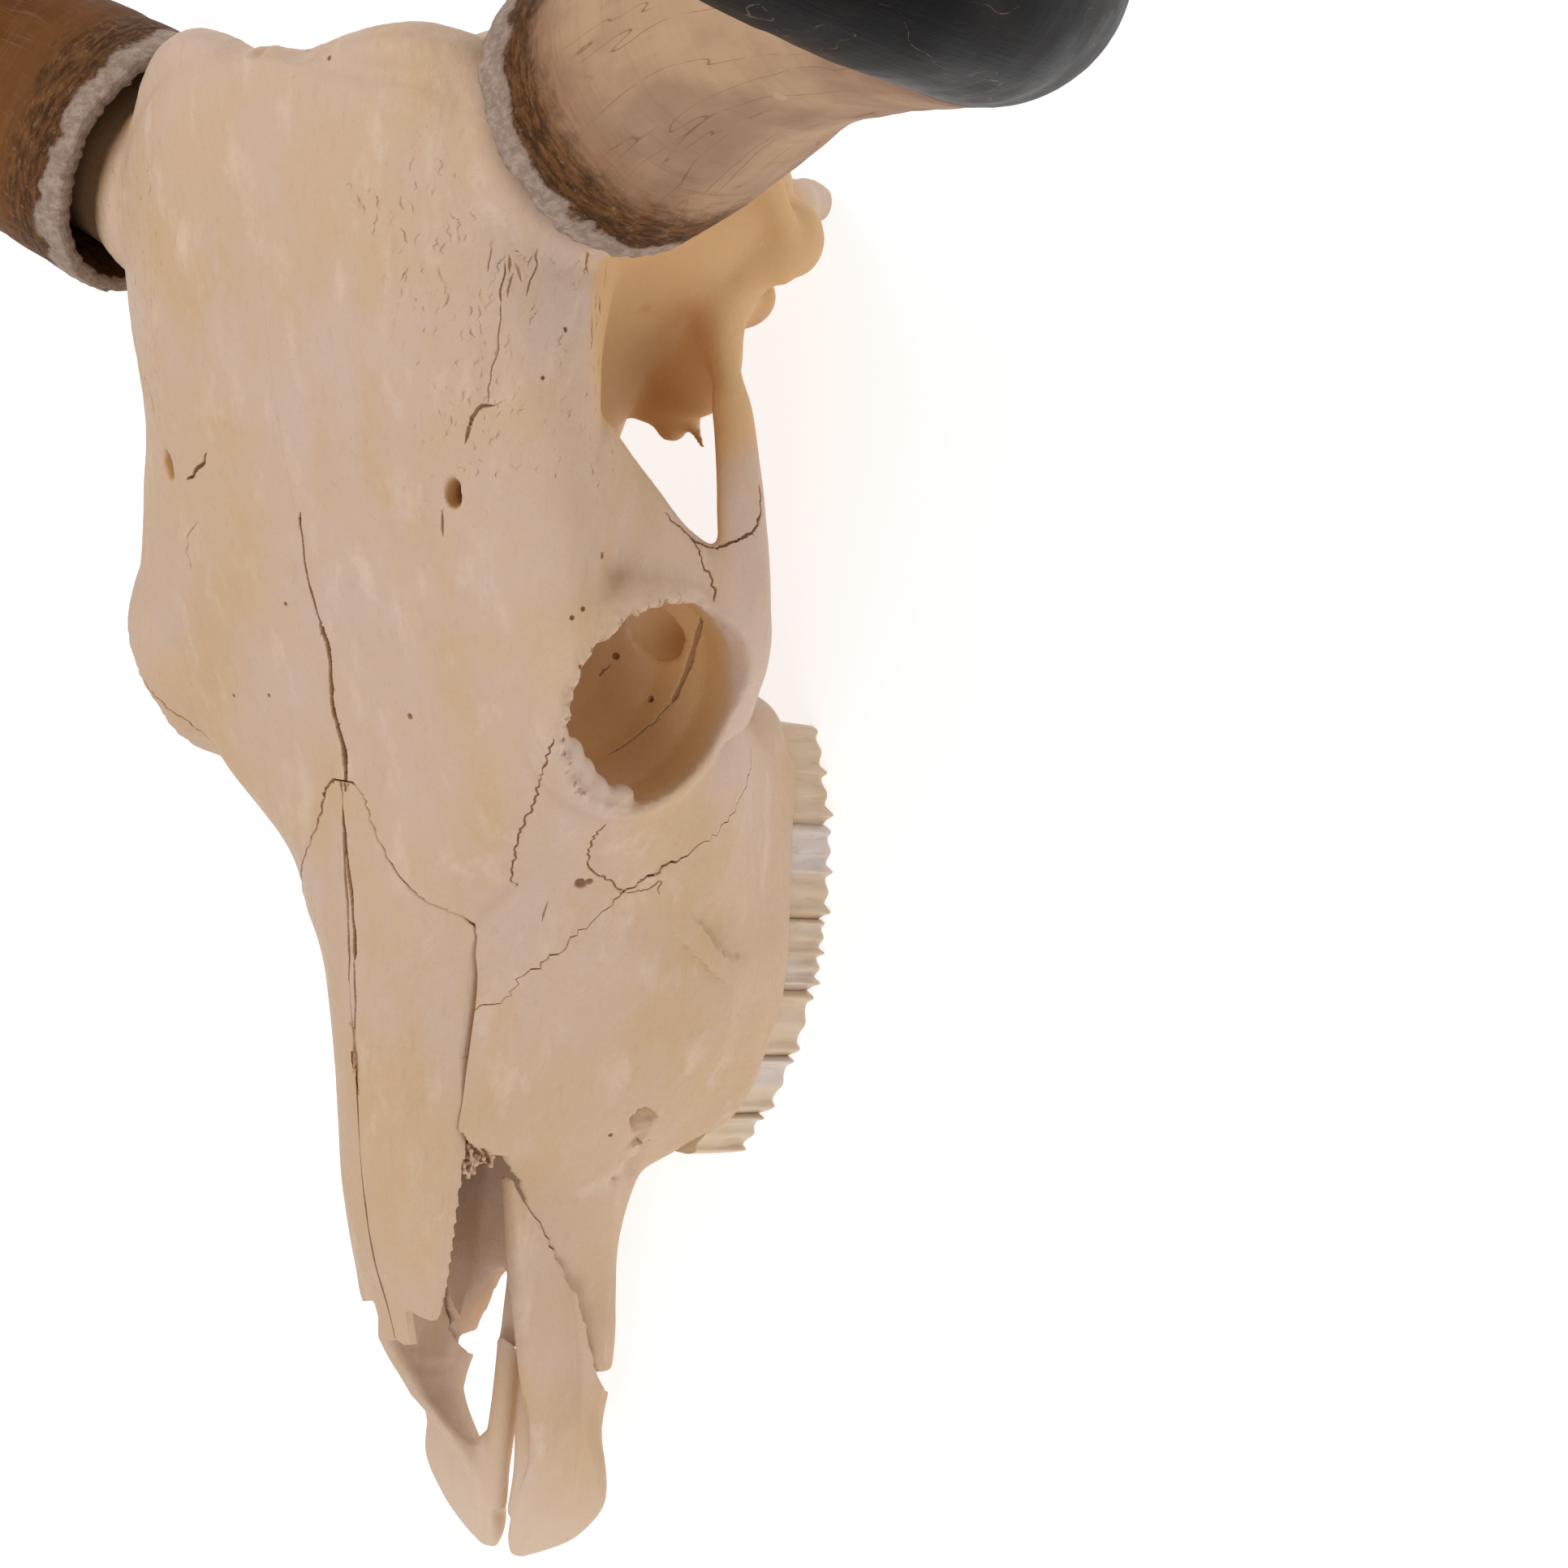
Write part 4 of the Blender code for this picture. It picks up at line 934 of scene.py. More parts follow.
def zigzag(line, seed, swing, step):
    """A side-view suture line with small uneven teeth."""
    rng = np.random.default_rng(seed)
    points = sampled([(y, z, 0) for y, z in line], step)
    out = [points[0]]
    for before, here, after in zip(points, points[1:], points[2:]):
        along = (after - before).normalized()
        out.append(here + Vector((-along.y, along.x, 0)) * swing * rng.uniform(-1, 1))
    out.append(points[-1])
    return [(p.x, p.y) for p in out]


def shifted_line(line, offset):
    """A side-view line moved sideways; a suture closes to a hairline below the cheek."""
    moved = []
    wide = SUTURE_GAP / HAIRLINE_GAP
    for k, point in enumerate(line):
        before = line[max(k - 1, 0)]
        after = line[min(k + 1, len(line) - 1)]
        along = Vector((after[0] - before[0], after[1] - before[1])).normalized()
        shift = offset if point[0] < HAIRLINE_FROM_Y else offset / wide
        moved.append((point[0] - along.y * shift, point[1] + along.x * shift))
    return moved


def jaw_suture(way):
    """Edge of the gap between cranium and upper jaw: 1 for the jaw's side, -1 for the other."""
    return shifted_line(zigzag(JAW_SUTURE, SEED, *JAW_TEETH), way * SUTURE_GAP / 2)


def incisive_suture(way):
    """Edge of the gap at the incisive bone: 1 for that bone's side, -1 for the jaw's side."""
    return shifted_line(zigzag(INCISIVE_SUTURE, SEED + 1, *INCISIVE_TEETH), way * SUTURE_GAP / 2)


def copy_of(piece, name):
    """A second object with its own copy of a piece's mesh."""
    return placed(name, piece.data.copy())


def cranium_piece(body):
    """The part of the body behind the upper jaws' suture."""
    line = jaw_suture(-1)
    outline = line + [(line[-1][0], FAR), (FAR * 2, FAR), (FAR * 2, -FAR), (line[0][0], -FAR)]
    piece = copy_of(body, "skull_cranium")
    cut(piece, "INTERSECT", [prism("cranium_region", outline)])
    keep_largest(piece)
    return piece


def jaw_piece(body, side, tag):
    """One upper jaw, between both sutures and the midline, with its tapered front tip."""
    rear = jaw_suture(1)
    front = incisive_suture(-1)
    outline = rear + [(rear[-1][0], FAR), (front[-1][0], FAR)] + front[::-1]
    outline += [(front[0][0], -FAR), (rear[0][0], -FAR)]
    piece = copy_of(body, "skull_upper_jaw_" + tag)
    cut(piece, "INTERSECT", [prism("jaw_region", outline), half_space(side)])
    keep_largest(piece)
    co = coordinates(piece.data)
    taper = TIP_TAPER * (1 - ramp(co[:, 1], TIP_TAPER_Y)) * ramp(np.abs(co[:, 0]), TIP_TAPER_ACROSS)
    co[:, 0] -= np.sign(co[:, 0]) * taper
    set_coordinates(piece.data, co)
    flare_right(piece, JAW_FLARE_ACROSS)
    return piece


def nasal_piece(roof, side, tag):
    """One nasal bone, cut from the fused roof, with its two-pointed tip."""
    piece = copy_of(roof, "skull_nasal_" + tag)
    region = shell_object("nasal_region", nasal_rings(0.0, SEAT_RISE, NASAL_STATIONS, NOSE_GAP))
    cut(piece, "INTERSECT", [region, half_space(side), slab("tip_plan", NASAL_TIP, (0, FAR), side)])
    keep_largest(piece)
    return piece


def incisive_ring(t, side):
    """Cross section of the incisive bone at parameter t, with its dished upper face."""
    y, inner, outer = spline([s[:3] for s in INCISIVE_STATIONS], t)
    top_in, top_out, low = spline([s[3:6] for s in INCISIVE_STATIONS], t)
    middle = (inner + outer) / 2
    dish = float(ramp(y, (8, 30)) * (1 - ramp(y, (84, 110))))
    foot = inner + (float(np.interp(y, *zip(*FOOT_OUT))) if side < 0 else 0.0)
    ring = ((inner, top_in - 4), (inner + 1.2, top_in - 0.8), (inner + 3.6, top_in),
            (inner + 7, top_in - 1.6), (middle, (top_in + top_out) / 2 + 1.0 - 2.4 * dish),
            (outer - 5, top_out + 0.6 - 0.6 * dish), (outer - 1.6, top_out - 0.2),
            (outer, (top_out + low) / 2), (outer - 1.6, low + 0.6), (outer - 5, low), (middle, low),
            (foot + 3, low), (foot + 0.8, low + 0.8), (foot, low + 3))
    return [(side * x, y, z) for x, z in ring]


def incisive_piece(side, tag):
    """Paddle of the incisive bone with its nasal process and its bar along the palate."""
    rings = [incisive_ring(k / 3, side) for k in range((len(INCISIVE_STATIONS) - 1) * 3 + 1)]
    bar = limb_rings(path_on_side(PALATINE_BAR, side), PALATINE_BAR_HEIGHTS, PALATINE_BAR_WIDTHS)
    piece = shell_object("skull_incisive_" + tag, rings, bar)
    remesh(piece, PLATE_VOXEL, 22)
    line = incisive_suture(1)
    outline = line + [(line[-1][0], FAR), (-FAR, FAR), (-FAR, -FAR), (line[0][0], -FAR)]
    cut(piece, "INTERSECT", [prism("incisive_region", outline), half_space(side)])
    keep_largest(piece)
    flare_right(piece, INCISIVE_FLARE_ACROSS)
    return piece


def horn_frames(side):
    """Rings of the horn: distance from the rim, middle, two cross directions, way and radius."""
    path = [horn_point(p, side) for p in HORN_PATH]
    sizes = [(r, 0, 0) for r in HORN_RADII]
    last_step = (len(path) - 1) * HORN_STEPS
    frames = []
    length = due = 0.0
    here = path[0]
    for k in range(last_step + 1):
        t = k / HORN_STEPS
        before, here = here, spline(path, t)
        length += (here - before).length
        if length >= due or k == last_step:
            along, across, rise = cross_frame(path, t, REARWARD)
            frames.append((length, here, across, rise, along, spline(sizes, t)[0]))
            due = length + (0.7 if length < 30 else (1.6 if length < 140 else 3.5))
    return frames


def grain_places(turn, radius, s):
    """Places round the horn for its noises: across in two axes, then the distance along it."""
    grain = turn * radius
    grain[:, 2] = s
    return grain


def outer_row(frame, turn, fray):
    """One ring of the sheath's outside: places, distance and grain, roughest at the frayed rim."""
    s, here, across, rise, along, radius = frame
    grain = grain_places(turn, radius, s)
    rough = math.exp(-s / 9.0)
    bump = 0.25 * stretched_noise(grain, (0.12, 0.12, 1.0), 5.0, SEED + 5)
    bump += 0.5 * lattice_noise(grain, 38.0, SEED + 6)
    strips = stretched_noise(grain, (1.0, 1.0, 0.06), 2.4, SEED + 7)
    bump = bump + strips * (0.06 + 0.25 * rough)
    bump += rough * 0.4 * lattice_noise(grain, 1.6, SEED + 8)
    bump -= 0.9 * math.exp(-s / 1.6)
    unit = np.outer(turn[:, 0], across) + np.outer(turn[:, 1], rise)
    place = np.array(here) + unit * (radius - 0.9 + bump)[:, None]
    place += np.outer(fray * math.exp(-s / 5.0), np.array(along))
    return place, s, grain


def inner_row(frame, side, turn, fray):
    """One ring of the sheath's hollow, which narrows inward; its distance counts below zero."""
    s, _, across, rise, along, radius = frame
    base, axis = horn_axis(side)
    wall = radius - SHEATH_WALL if s < 1 else max(29.0, radius - SHEATH_WALL - s * 0.19)
    grain = grain_places(turn, wall, s)
    bump = 0.5 * stretched_noise(grain, (1.0, 1.0, 0.2), 3.0, SEED + 9)
    unit = np.outer(turn[:, 0], across) + np.outer(turn[:, 1], rise)
    place = np.array(base + axis * s) + unit * (wall + bump - 0.3)[:, None]
    place += np.outer(fray * math.exp(-s / 4.0), np.array(along))
    return place, -s - 0.5, grain


def sheath_mesh(rows, side):
    """Closed grid through the rows, with what its material needs at every vertex."""
    bm = bmesh.new()
    layers = bm.verts.layers
    along_layer = layers.float.new("along")
    grain_layer = layers.float_vector.new("grain")
    dark_layer = layers.float.new("dark")
    grid = []
    for places, s, grain in rows:
        line = []
        for place, spot in zip(places, grain):
            vert = bm.verts.new(to_world(place))
            vert[along_layer] = s
            vert[grain_layer] = Vector(spot)
            vert[dark_layer] = s - BLACK_FROM[side]
            line.append(vert)
        grid.append(line)
    for first, second in zip(grid, grid[1:]):
        for i in range(len(first)):
            n = (i + 1) % len(first)
            bm.faces.new((first[i], first[n], second[n], second[i]))
    bm.faces.new(grid[0][::-1])
    bm.faces.new(grid[-1])
    return bm


def horn_piece(side, tag, sides=220):
    """Hollow-based sheath with a frayed rim, growth lines and lengthwise scratches."""
    frames = horn_frames(side)
    angles = np.arange(sides) * 2 * math.pi / sides
    turn = np.stack([np.cos(angles), np.sin(angles), np.zeros(sides)], axis=1)
    fray = 1.5 * lattice_noise(turn * 46, 7.0, SEED + 3) + 0.9 * lattice_noise(turn * 46, 2.2, SEED + 4)
    inside = [inner_row(f, side, turn, fray) for f in frames if f[0] <= CAVITY_DEPTH]
    rows = inside[::-1] + [outer_row(f, turn, fray) for f in frames]
    piece = mesh_object("skull_horn_" + tag, sheath_mesh(rows, side))
    piece.data.materials.append(HORNS[tag])
    piece.data.shade_smooth()
    return piece


def tooth_outline(tooth, ribs, swell, shrink, shift, outer=44, inner=26):
    """Outline of a crown at one height: ribs and sharp styles outside, rounded lobes inside."""
    start, end, front_x, back_x, width = tooth
    points = []
    for i in range(outer + 1):
        t = i / outer
        bump = 0.0
        for centre, tall, wide in ribs:
            bump += tall * math.exp(-((t - centre - shift * 0.02) / wide) ** 2)
        ends = 1.6 * max(0.0, 1 - t / 0.07) ** 1.5 + 1.6 * max(0.0, 1 - (1 - t) / 0.07) ** 1.5
        x = front_x + (back_x - front_x) * t + bump * swell - ends - shrink
        points.append((x, start + (end - start) * t))
    halves = 2 if ribs == MOLAR_RIBS else 1
    for i in range(inner + 1):
        t = 1 - i / inner
        wave = abs(math.sin(math.pi * t * halves)) ** 0.6
        x = front_x + (back_x - front_x) * t - width * (0.80 + 0.20 * wave) + shrink
        points.append((x, start + (end - start) * t))
    return points


def chewing_face(outline, tooth, side, low, pockets):
    """Rings of the worn face inside a crown's outline: an enamel ledge round each sunk pocket."""
    start, end, front_x, back_x, width = tooth
    middle_x = side * ((front_x + back_x) / 2 - width / 2)
    middle_y = (start + end) / 2
    stretch = 2.6 if len(pockets) > 1 else 1.7
    rings = []
    for k in range(1, 9):
        shrink = 1 - k / 8.6
        ring = []
        for x, y, _ in outline:
            px = middle_x + (x - middle_x) * shrink
            py = middle_y + (y - middle_y) * shrink
            t = (py - start) / (end - start)
            u = (px - middle_x) / (width / 2)
            rise = 0.9 * ramp(1 - shrink, (0.04, 0.14))
            for place in pockets:
                away = math.hypot((t - place) * stretch, u * 0.75)
                rise -= 0.8 * math.exp(-((away - 0.36) / 0.07) ** 2)
                rise += 2.2 * math.exp(-(away / 0.2) ** 2)
            ring.append((px, py, low + rise))
        rings.append(ring)
    return rings


def tooth_crown(entry, side, seed):
    """One cheek tooth from its sunk root to the worn chewing face with its enamel folds."""
    name, start, end, front_x, back_x, width, low = entry
    tooth = (start - TOOTH_OVERLAP, end + TOOTH_OVERLAP, front_x, back_x, width)
    molar = name.startswith("M")
    ribs = MOLAR_RIBS if molar else PREMOLAR_RIBS
    shift = np.random.default_rng(seed).uniform(-1, 1)
    rings = []
    for h in CROWN_HEIGHTS:
        z = low + h * (TOOTH_ROOT_Z - low) / TOOTH_ROOT_Z
        swell = 0.55 + 0.6 * (1 - h / TOOTH_ROOT_Z)
        neck = 1.0 * ramp(h, (17.0, 24.0))
        edge = 0.9 * max(0.0, 1 - h / 1.8) ** 2
        ring = []
        for x, y in tooth_outline(tooth, ribs, swell, neck + edge, shift):
            wave = 0.22 * math.sin(h * 1.9 + y * 0.7 + shift * 3)
            ring.append((side * (x + wave * 0.4), y, z))
        rings.append(ring)
    return rings + chewing_face(rings[-1], tooth, side, low, MOLAR_POCKETS if molar else PREMOLAR_POCKETS)


def tooth_row(side, tag):
    """Cheek teeth of one side as one object, each crown with its own tint."""
    bm = bmesh.new()
    layer = bm.verts.layers.float.new("tint")
    for k, entry in enumerate(TEETH):
        known = set(bm.verts)
        add_loft(bm, tooth_crown(entry, side, SEED + 60 + k + (0 if side > 0 else 9)))
        tints = TOOTH_TINTS[entry[0]]
        for vert in bm.verts:
            if vert in known:
                continue
            y = vert.co.y / MM + MIDDLE_Y
            share = float(ramp((y - entry[1]) / (entry[2] - entry[1]), (0.42, 0.58)))
            vert[layer] = tints[0] * (1 - share) + tints[1] * share
    return mesh_object("teeth_" + tag, bm)


# Runs of cracks and seams: points, width, depth, sway and length of the teeth, darkness (dirt in the
# joints and painted shade in the cracks), and whether the right side has one as well.
CRACKS = (
    (((0, 430, 235), (0, 400, 226), (0, 370, 215), (0, 335, 200)), 0.35, 0.12, 0.2, 1.6, 0.1, False),
    (((2, 336, 201), (-1, 318, 192), (-1, 309, 187), (0, 302, 183)), 0.75, 1.6, 0.35, 4.0, 1.0, False),
    (((0, 303, 184), (1, 292, 178), (-1, 279, 173), (0, 270, 170), (2, 262, 168), (1, 250, 165)),
     1.5, 4.0, 0.35, 4.0, 1.0, False),
    (((91, 277, 171), (84, 268, 166), (72, 260, 153), (65, 251, 149), (60, 245, 146), (56, 239, 142),
      (51, 230, 136), (51, 226, 133)), 0.6, 0.8, 0.7, 1.4, 0.5, True),
    (((72, 228, 105), (71, 232, 112), (69, 236, 120), (71, 240, 124), (75, 246, 128), (83, 251, 132)),
     0.6, 0.7, 0.6, 1.4, 0.5, True),
    (((72, 228, 105), (76, 230, 100), (80, 233, 97), (78, 228, 95)), 0.45, 0.5, 0.7, 1.2, 0.45, True),
    (((100, 349, 143), (107, 342, 133), (108, 336, 130), (109, 330, 126), (109, 324, 124)),
     0.6, 0.7, 0.7, 1.4, 0.5, True),
    (((104, 343, 134), (107, 342, 129), (109, 342, 122), (110, 344, 117), (110, 352, 111),
      (108, 362, 109)), 0.8, 1.1, 0.5, 1.6, 0.7, True),
    (((97, 319, 115), (89, 311, 106), (83, 300, 101), (79, 291, 101)), 1.8, 1.2, 0.15, 6.0, 0.35, True),
    (((79, 291, 101), (74, 283, 103), (70, 278, 107), (66, 271, 116)), 0.5, 0.5, 0.5, 3.0, 0.3, True),
    (((44, 300, 104), (50, 297, 106), (54, 302, 104)), 0.5, 0.4, 0.4, 2.0, 0.6, False),
    (((83, 416, 211), (83, 412, 210), (82, 408, 210), (82, 404, 209)), 0.6, 0.7, 0.5, 3.0, 0.3, False),
    (((82, 404, 209), (80, 394, 206), (79, 388, 205), (77, 381, 204), (76, 374, 202)),
     0.45, 0.5, 0.4, 2.5, 0.22, True),
    (((91, 421, 206), (90, 416, 204), (88, 411, 204), (87, 407, 204)), 0.6, 0.6, 0.5, 3.0, 0.25, False),
    (((85, 418, 211), (85, 413, 210)), 0.8, 0.8, 0.2, 3.0, 0.25, False),
    (((86, 416, 209), (87, 411, 206)), 0.7, 0.6, 0.3, 3.0, 0.2, False),
    (((85, 413, 209), (83, 406, 208)), 0.7, 0.6, 0.5, 3.0, 0.25, False),
    (((81, 420, 215), (80, 412, 214)), 0.6, 0.5, 0.3, 3.0, 0.2, False),
    (((98, 423, 192), (95, 417, 185)), 0.9, 0.8, 0.2, 3.0, 0.25, False),
    (((91, 411, 176), (91, 406, 174)), 1.2, 1.0, 0.2, 3.0, 0.3, False),
    (((93, 405, 180), (94, 400, 179), (93, 395, 178)), 0.7, 0.6, 0.6, 3.0, 0.15, False),
    (((91, 423, 173), (90, 414, 172)), 0.7, 0.6, 0.6, 3.0, 0.15, False),
    (((77, 374, 201), (74, 373, 203), (71, 370, 203), (69, 366, 202), (68, 362, 202)),
     1.1, 1.3, 0.2, 4.0, 0.3, True),
    (((76, 373, 202), (80, 376, 200)), 0.4, 0.3, 0.3, 2.0, 0.2, False),
    (((58, 341, 197), (57, 333, 196)), 0.8, 0.9, 0.2, 3.0, 0.4, False),
    (((0, 250, 163), (0, 240, 162), (1, 228, 159), (2, 210, 154), (2, 196, 152)),
     1.1, 2.0, 0.25, 5.0, 0.5, False),
    (((2, 196, 152), (2, 182, 148), (0, 167, 144), (0, 152, 140)), 0.6, 1.0, 0.25, 5.0, 0.35, False),
    (((-50, 342, 201), (-45, 345, 203), (-39, 349, 205), (-36, 352, 206)),
     1.0, 1.3, 0.8, 2.5, 0.7, False),
    (((-50, 330, 195), (-57, 322, 190), (-57, 314, 187)), 0.5, 0.4, 1.0, 3.0, 0.2, False),
    (((55, 223, 122), (53, 216, 121)), 0.6, 0.4, 0.2, 3.0, 0.4, False),
)
# Small holes: place, radius and depth.
PITS = (
    ((65, 230, 118.5), 1.8, 1.4), ((67, 231, 117), 1.2, 0.9), ((92, 399, 190), 0.7, 0.9),
    ((88, 384, 193), 0.6, 0.8), ((100, 344, 163), 0.7, 0.8), ((98, 334, 163), 0.9, 1.0),
    ((93, 314, 172), 0.7, 0.8), ((95, 317, 170), 0.7, 0.8), ((101, 339, 158), 0.6, 0.7),
    ((32, 277, 172), 0.9, 0.9), ((-14, 307, 186), 0.7, 0.8), ((-48, 275, 170), 0.6, 0.7),
    ((-30, 277, 172), 0.6, 0.7), ((29, 471, 239), 0.7, 0.8), ((15, 474, 234), 0.7, 0.8),
    ((52, 145, 71), 0.7, 0.8), ((71, 291, 102), 0.9, 1.2), ((59, 304, 107), 1.0, 1.2),
)
# Broad grooves (positive) and ridges (negative): points, width, depth and side.
# The side is 1 for the left one alone, or BOTH.
FORMS = (
    (((62, 362, 203), (60, 350, 201), (56, 339, 197), (52, 324, 192), (50, 308, 187)), 9.0, 1.3, BOTH),
    (((62, 150, 62), (58, 143, 57), (54, 135, 53), (50, 127, 50)), 9.0, 2.6, BOTH),
    (((68, 362, 202), (77, 376, 202), (79, 390, 205), (82, 406, 209)), 8.0, 0.7, BOTH),
    (((54, 228, 131), (50, 225, 134), (45, 221, 134), (41, 216, 135), (38, 211, 135)), 5.0, 1.6, 1),
    (((83, 252, 131), (74, 245, 127), (70, 239, 121), (71, 233, 112)), 6.0, 1.3, 1),
    (((85, 243, 118), (81, 238, 107), (84, 241, 98), (90, 244, 92)), 10.0, 0.5, 1),
    (((80, 224, 89), (81, 220, 84), (82, 216, 79), (84, 209, 69), (86, 203, 60), (85, 196, 47)),
     12.0, -2.0, BOTH),
    (((88, 228, 82), (88, 222, 75), (89, 214, 66)), 12.0, 1.4, BOTH),
    (((72, 226, 100), (73, 218, 90), (76, 208, 76), (79, 200, 62)), 10.0, 1.0, BOTH),
    (((85, 196, 50), (82, 188, 40), (78, 180, 36), (74, 173, 38)), 8.0, -1.4, BOTH),
    (((62, 170, 60), (68, 186, 52), (74, 200, 46)), 12.0, -1.6, BOTH),
    (((57, 158, 62), (60, 146, 58), (56, 136, 54)), 11.0, 1.2, BOTH),
    (((92, 330, 158), (96, 328, 152), (99, 327, 146)), 9.0, -1.2, BOTH),
)
# How many notches, slits and pores each side has.
RIM_NOTCHES = 26
SLITS = 190
SPECKS = 110


def rim_notches(side, rng):
    """Notches across the upper and inner rim of the orbit."""
    rim, looks = orbit_frame(side)
    across = looks.cross(Vector(UP)).normalized() * side
    rise = Vector(UP) - looks * looks.z
    rise.normalize()
    out = []
    for k in range(RIM_NOTCHES):
        a = math.radians(28 + 150 * (k + rng.uniform(-0.45, 0.45)) / RIM_NOTCHES)
        way = across * math.cos(a) + rise * math.sin(a)
        start = rim + way * 33.0 + looks * 1.0
        end = rim + way * (34.5 + rng.uniform(0.2, 2.5)) + looks * 1.0
        out.append(((tuple(start), tuple(end)), rng.uniform(1.2, 2.4), rng.uniform(0.4, 1.1), 0.5, 1.5, 0.12))
    return out


def worm_slits(side, rng):
    """Slits like worm tracks on the forehead, closer together and longer towards the horn."""
    out = []
    for _ in range(SLITS):
        y = rng.uniform(352, 440)
        share = (y - 352) / 88
        x = rng.uniform(64 - 26 * share, 96)
        length = rng.uniform(1.2, 6.5) * (0.5 + 0.7 * share)
        lean = rng.uniform(-0.45, 0.45)
        top = 236 - 0.3 * (436 - y) - 0.022 * max(0.0, x - 46) ** 2
        points = tuple((side * (x + lean * s), y + s, top) for s in (0, length * 0.5, length))
        out.append((points, rng.uniform(0.35, 0.75), rng.uniform(0.2, 0.5), 0.9, 1.6, 0.08))
    return out


def fine_specks(side, rng):
    """Short fine pores over the forehead."""
    out = []
    for _ in range(SPECKS):
        y = rng.uniform(330, 470)
        x = rng.uniform(14, 96)
        top = 243 - 0.26 * (470 - y) - 0.012 * max(0.0, x - 40) ** 2
        length = rng.uniform(0.5, 2.2)
        points = tuple((side * (x + rng.uniform(-0.4, 0.4)), y + s, top) for s in (0, length))
        out.append((points, rng.uniform(0.3, 0.55), rng.uniform(0.15, 0.35), 0.4, 1.5, 0.14))
    return out


def chips(side):
    """All seeded small damage of one side."""
    rng = np.random.default_rng(SEED + (31 if side > 0 else 32))
    return rim_notches(side, rng) + worm_slits(side, rng) + fine_specks(side, rng)


def surface_run(run, tree, seed, reach=9.0, spacing=0.3):
    """Samples of one crack on a piece: place, width and depth, thinning out at both ends."""
    path, width, depth, sway, tooth, tone = run[:6]
    points = sampled(path, spacing)
    count = len(points)
    knots = max(3, int(count * spacing / tooth) + 2)
    rng = np.random.default_rng(seed)
    at = np.linspace(0, knots - 1, count)
    sideways = np.interp(at, np.arange(knots), rng.uniform(-1, 1, knots)) * sway
    swell = np.interp(at, np.arange(knots), rng.uniform(0.65, 1.3, knots))
    out = []
    for k, point in enumerate(points):
        place, normal, _, away = tree.find_nearest(to_world(point))
        if place is None or away > reach * MM:
            continue
        along = (points[min(k + 3, count - 1)] - points[max(k - 3, 0)]).normalized()
        across = normal.cross(along)
        place, normal, _, _ = tree.find_nearest(place + across * float(sideways[k]) * MM)
        ends = min(1.0, 0.35 + 0.65 * min(k, count - 1 - k) * spacing / 2.0)
        out.append((from_world(place), width * float(swell[k]) * ends, depth * ends, tone))
    return out


def near_cells(co, places):
    """Mask of the vertices that lie in or beside a cell that holds a sample."""
    keys = set()
    for p in np.unique(np.floor(places / NEAR_CELL).astype(np.int64), axis=0):
        keys.update(((p[0] + dx) * 4096 + p[1] + dy) * 4096 + p[2] + dz for dx, dy, dz in AROUND)
    mine = np.floor(co / NEAR_CELL).astype(np.int64)
    mine = (mine[:, 0] * 4096 + mine[:, 1]) * 4096 + mine[:, 2]
    return np.isin(mine, np.fromiter(keys, dtype=np.int64))


def nearest(co, samples):
    """Index of the nearest sample and its distance for each vertex, far away where none is near."""
    places = np.array([s[0] for s in samples])
    index = np.zeros(len(co), dtype=np.int64)
    away = np.full(len(co), 1e6)
    tree = KDTree(len(places))
    for k, p in enumerate(places):
        tree.insert(p, k)
    tree.balance()
    for i in np.nonzero(near_cells(co, places))[0]:
        _, index[i], away[i] = tree.find(co[i])
    return index, away


def triangulate(bm):
    """Split all faces with more than three corners."""
    bmesh.ops.triangulate(bm, faces=[f for f in bm.faces if len(f.verts) > 3])


def refine(piece, samples, reaches):
    """Split the triangles near the samples, once for each reach."""
    widths = np.array([s[1] for s in samples])
    for reach in reaches:
        bm = bmesh.new()
        bm.from_mesh(piece.data)
        triangulate(bm)
        bm.verts.ensure_lookup_table()
        index, away = nearest(coordinates(piece.data), samples)
        near = away < widths[index] * 0.5 + reach
        edges = [e for e in bm.edges if near[e.verts[0].index] and near[e.verts[1].index]
                 and e.calc_length() > 0.3 * MM]
        bmesh.ops.subdivide_edges(bm, edges=edges, cuts=1)
        triangulate(bm)
        bm.to_mesh(piece.data)
        bm.free()


def carve(piece, samples, edge):
    """Sink the surface along the samples; edge is the share of the width that the wall takes."""
    co = coordinates(piece.data)
    normals = vertex_normals(piece.data)
    index, away = nearest(co, samples)
    widths, depths, tones = np.array([s[1:] for s in samples])[index].T
    profile = 1 - ramp(away / widths, (0.5 - edge * 0.5, 0.5 + edge * 0.5))
    set_coordinates(piece.data, co - normals * (depths * profile)[:, None])
    # The darkness returned is dirt in the seams and painted shade in the cracks and pits.
    return profile * tones


def form_samples(path, width, depth, tree, reach=8.0):
    """Samples of one broad form where it lies on a piece, flat towards both ends."""
    points = sampled(path, 1.0)
    out = []
    for k, point in enumerate(points):
        place, _, _, away = tree.find_nearest(to_world(point))
        if away < reach * MM:
            ends = float(ramp(min(k, len(points) - 1 - k) / len(points), (0.0, 0.4)))
            out.append((from_world(place), width, depth * ends, 0.0))
    return out


def shape_forms(piece):
    """Broad grooves and ridges of a piece."""
    tree = surface_tree(piece)
    samples = []
    for path, width, depth, side in FORMS:
        for way, _ in SIDES:
            if side in (way, BOTH):
                samples += form_samples(path_on_side(path, way), width, depth, tree)
    if samples:
        carve(piece, samples, 1.0)


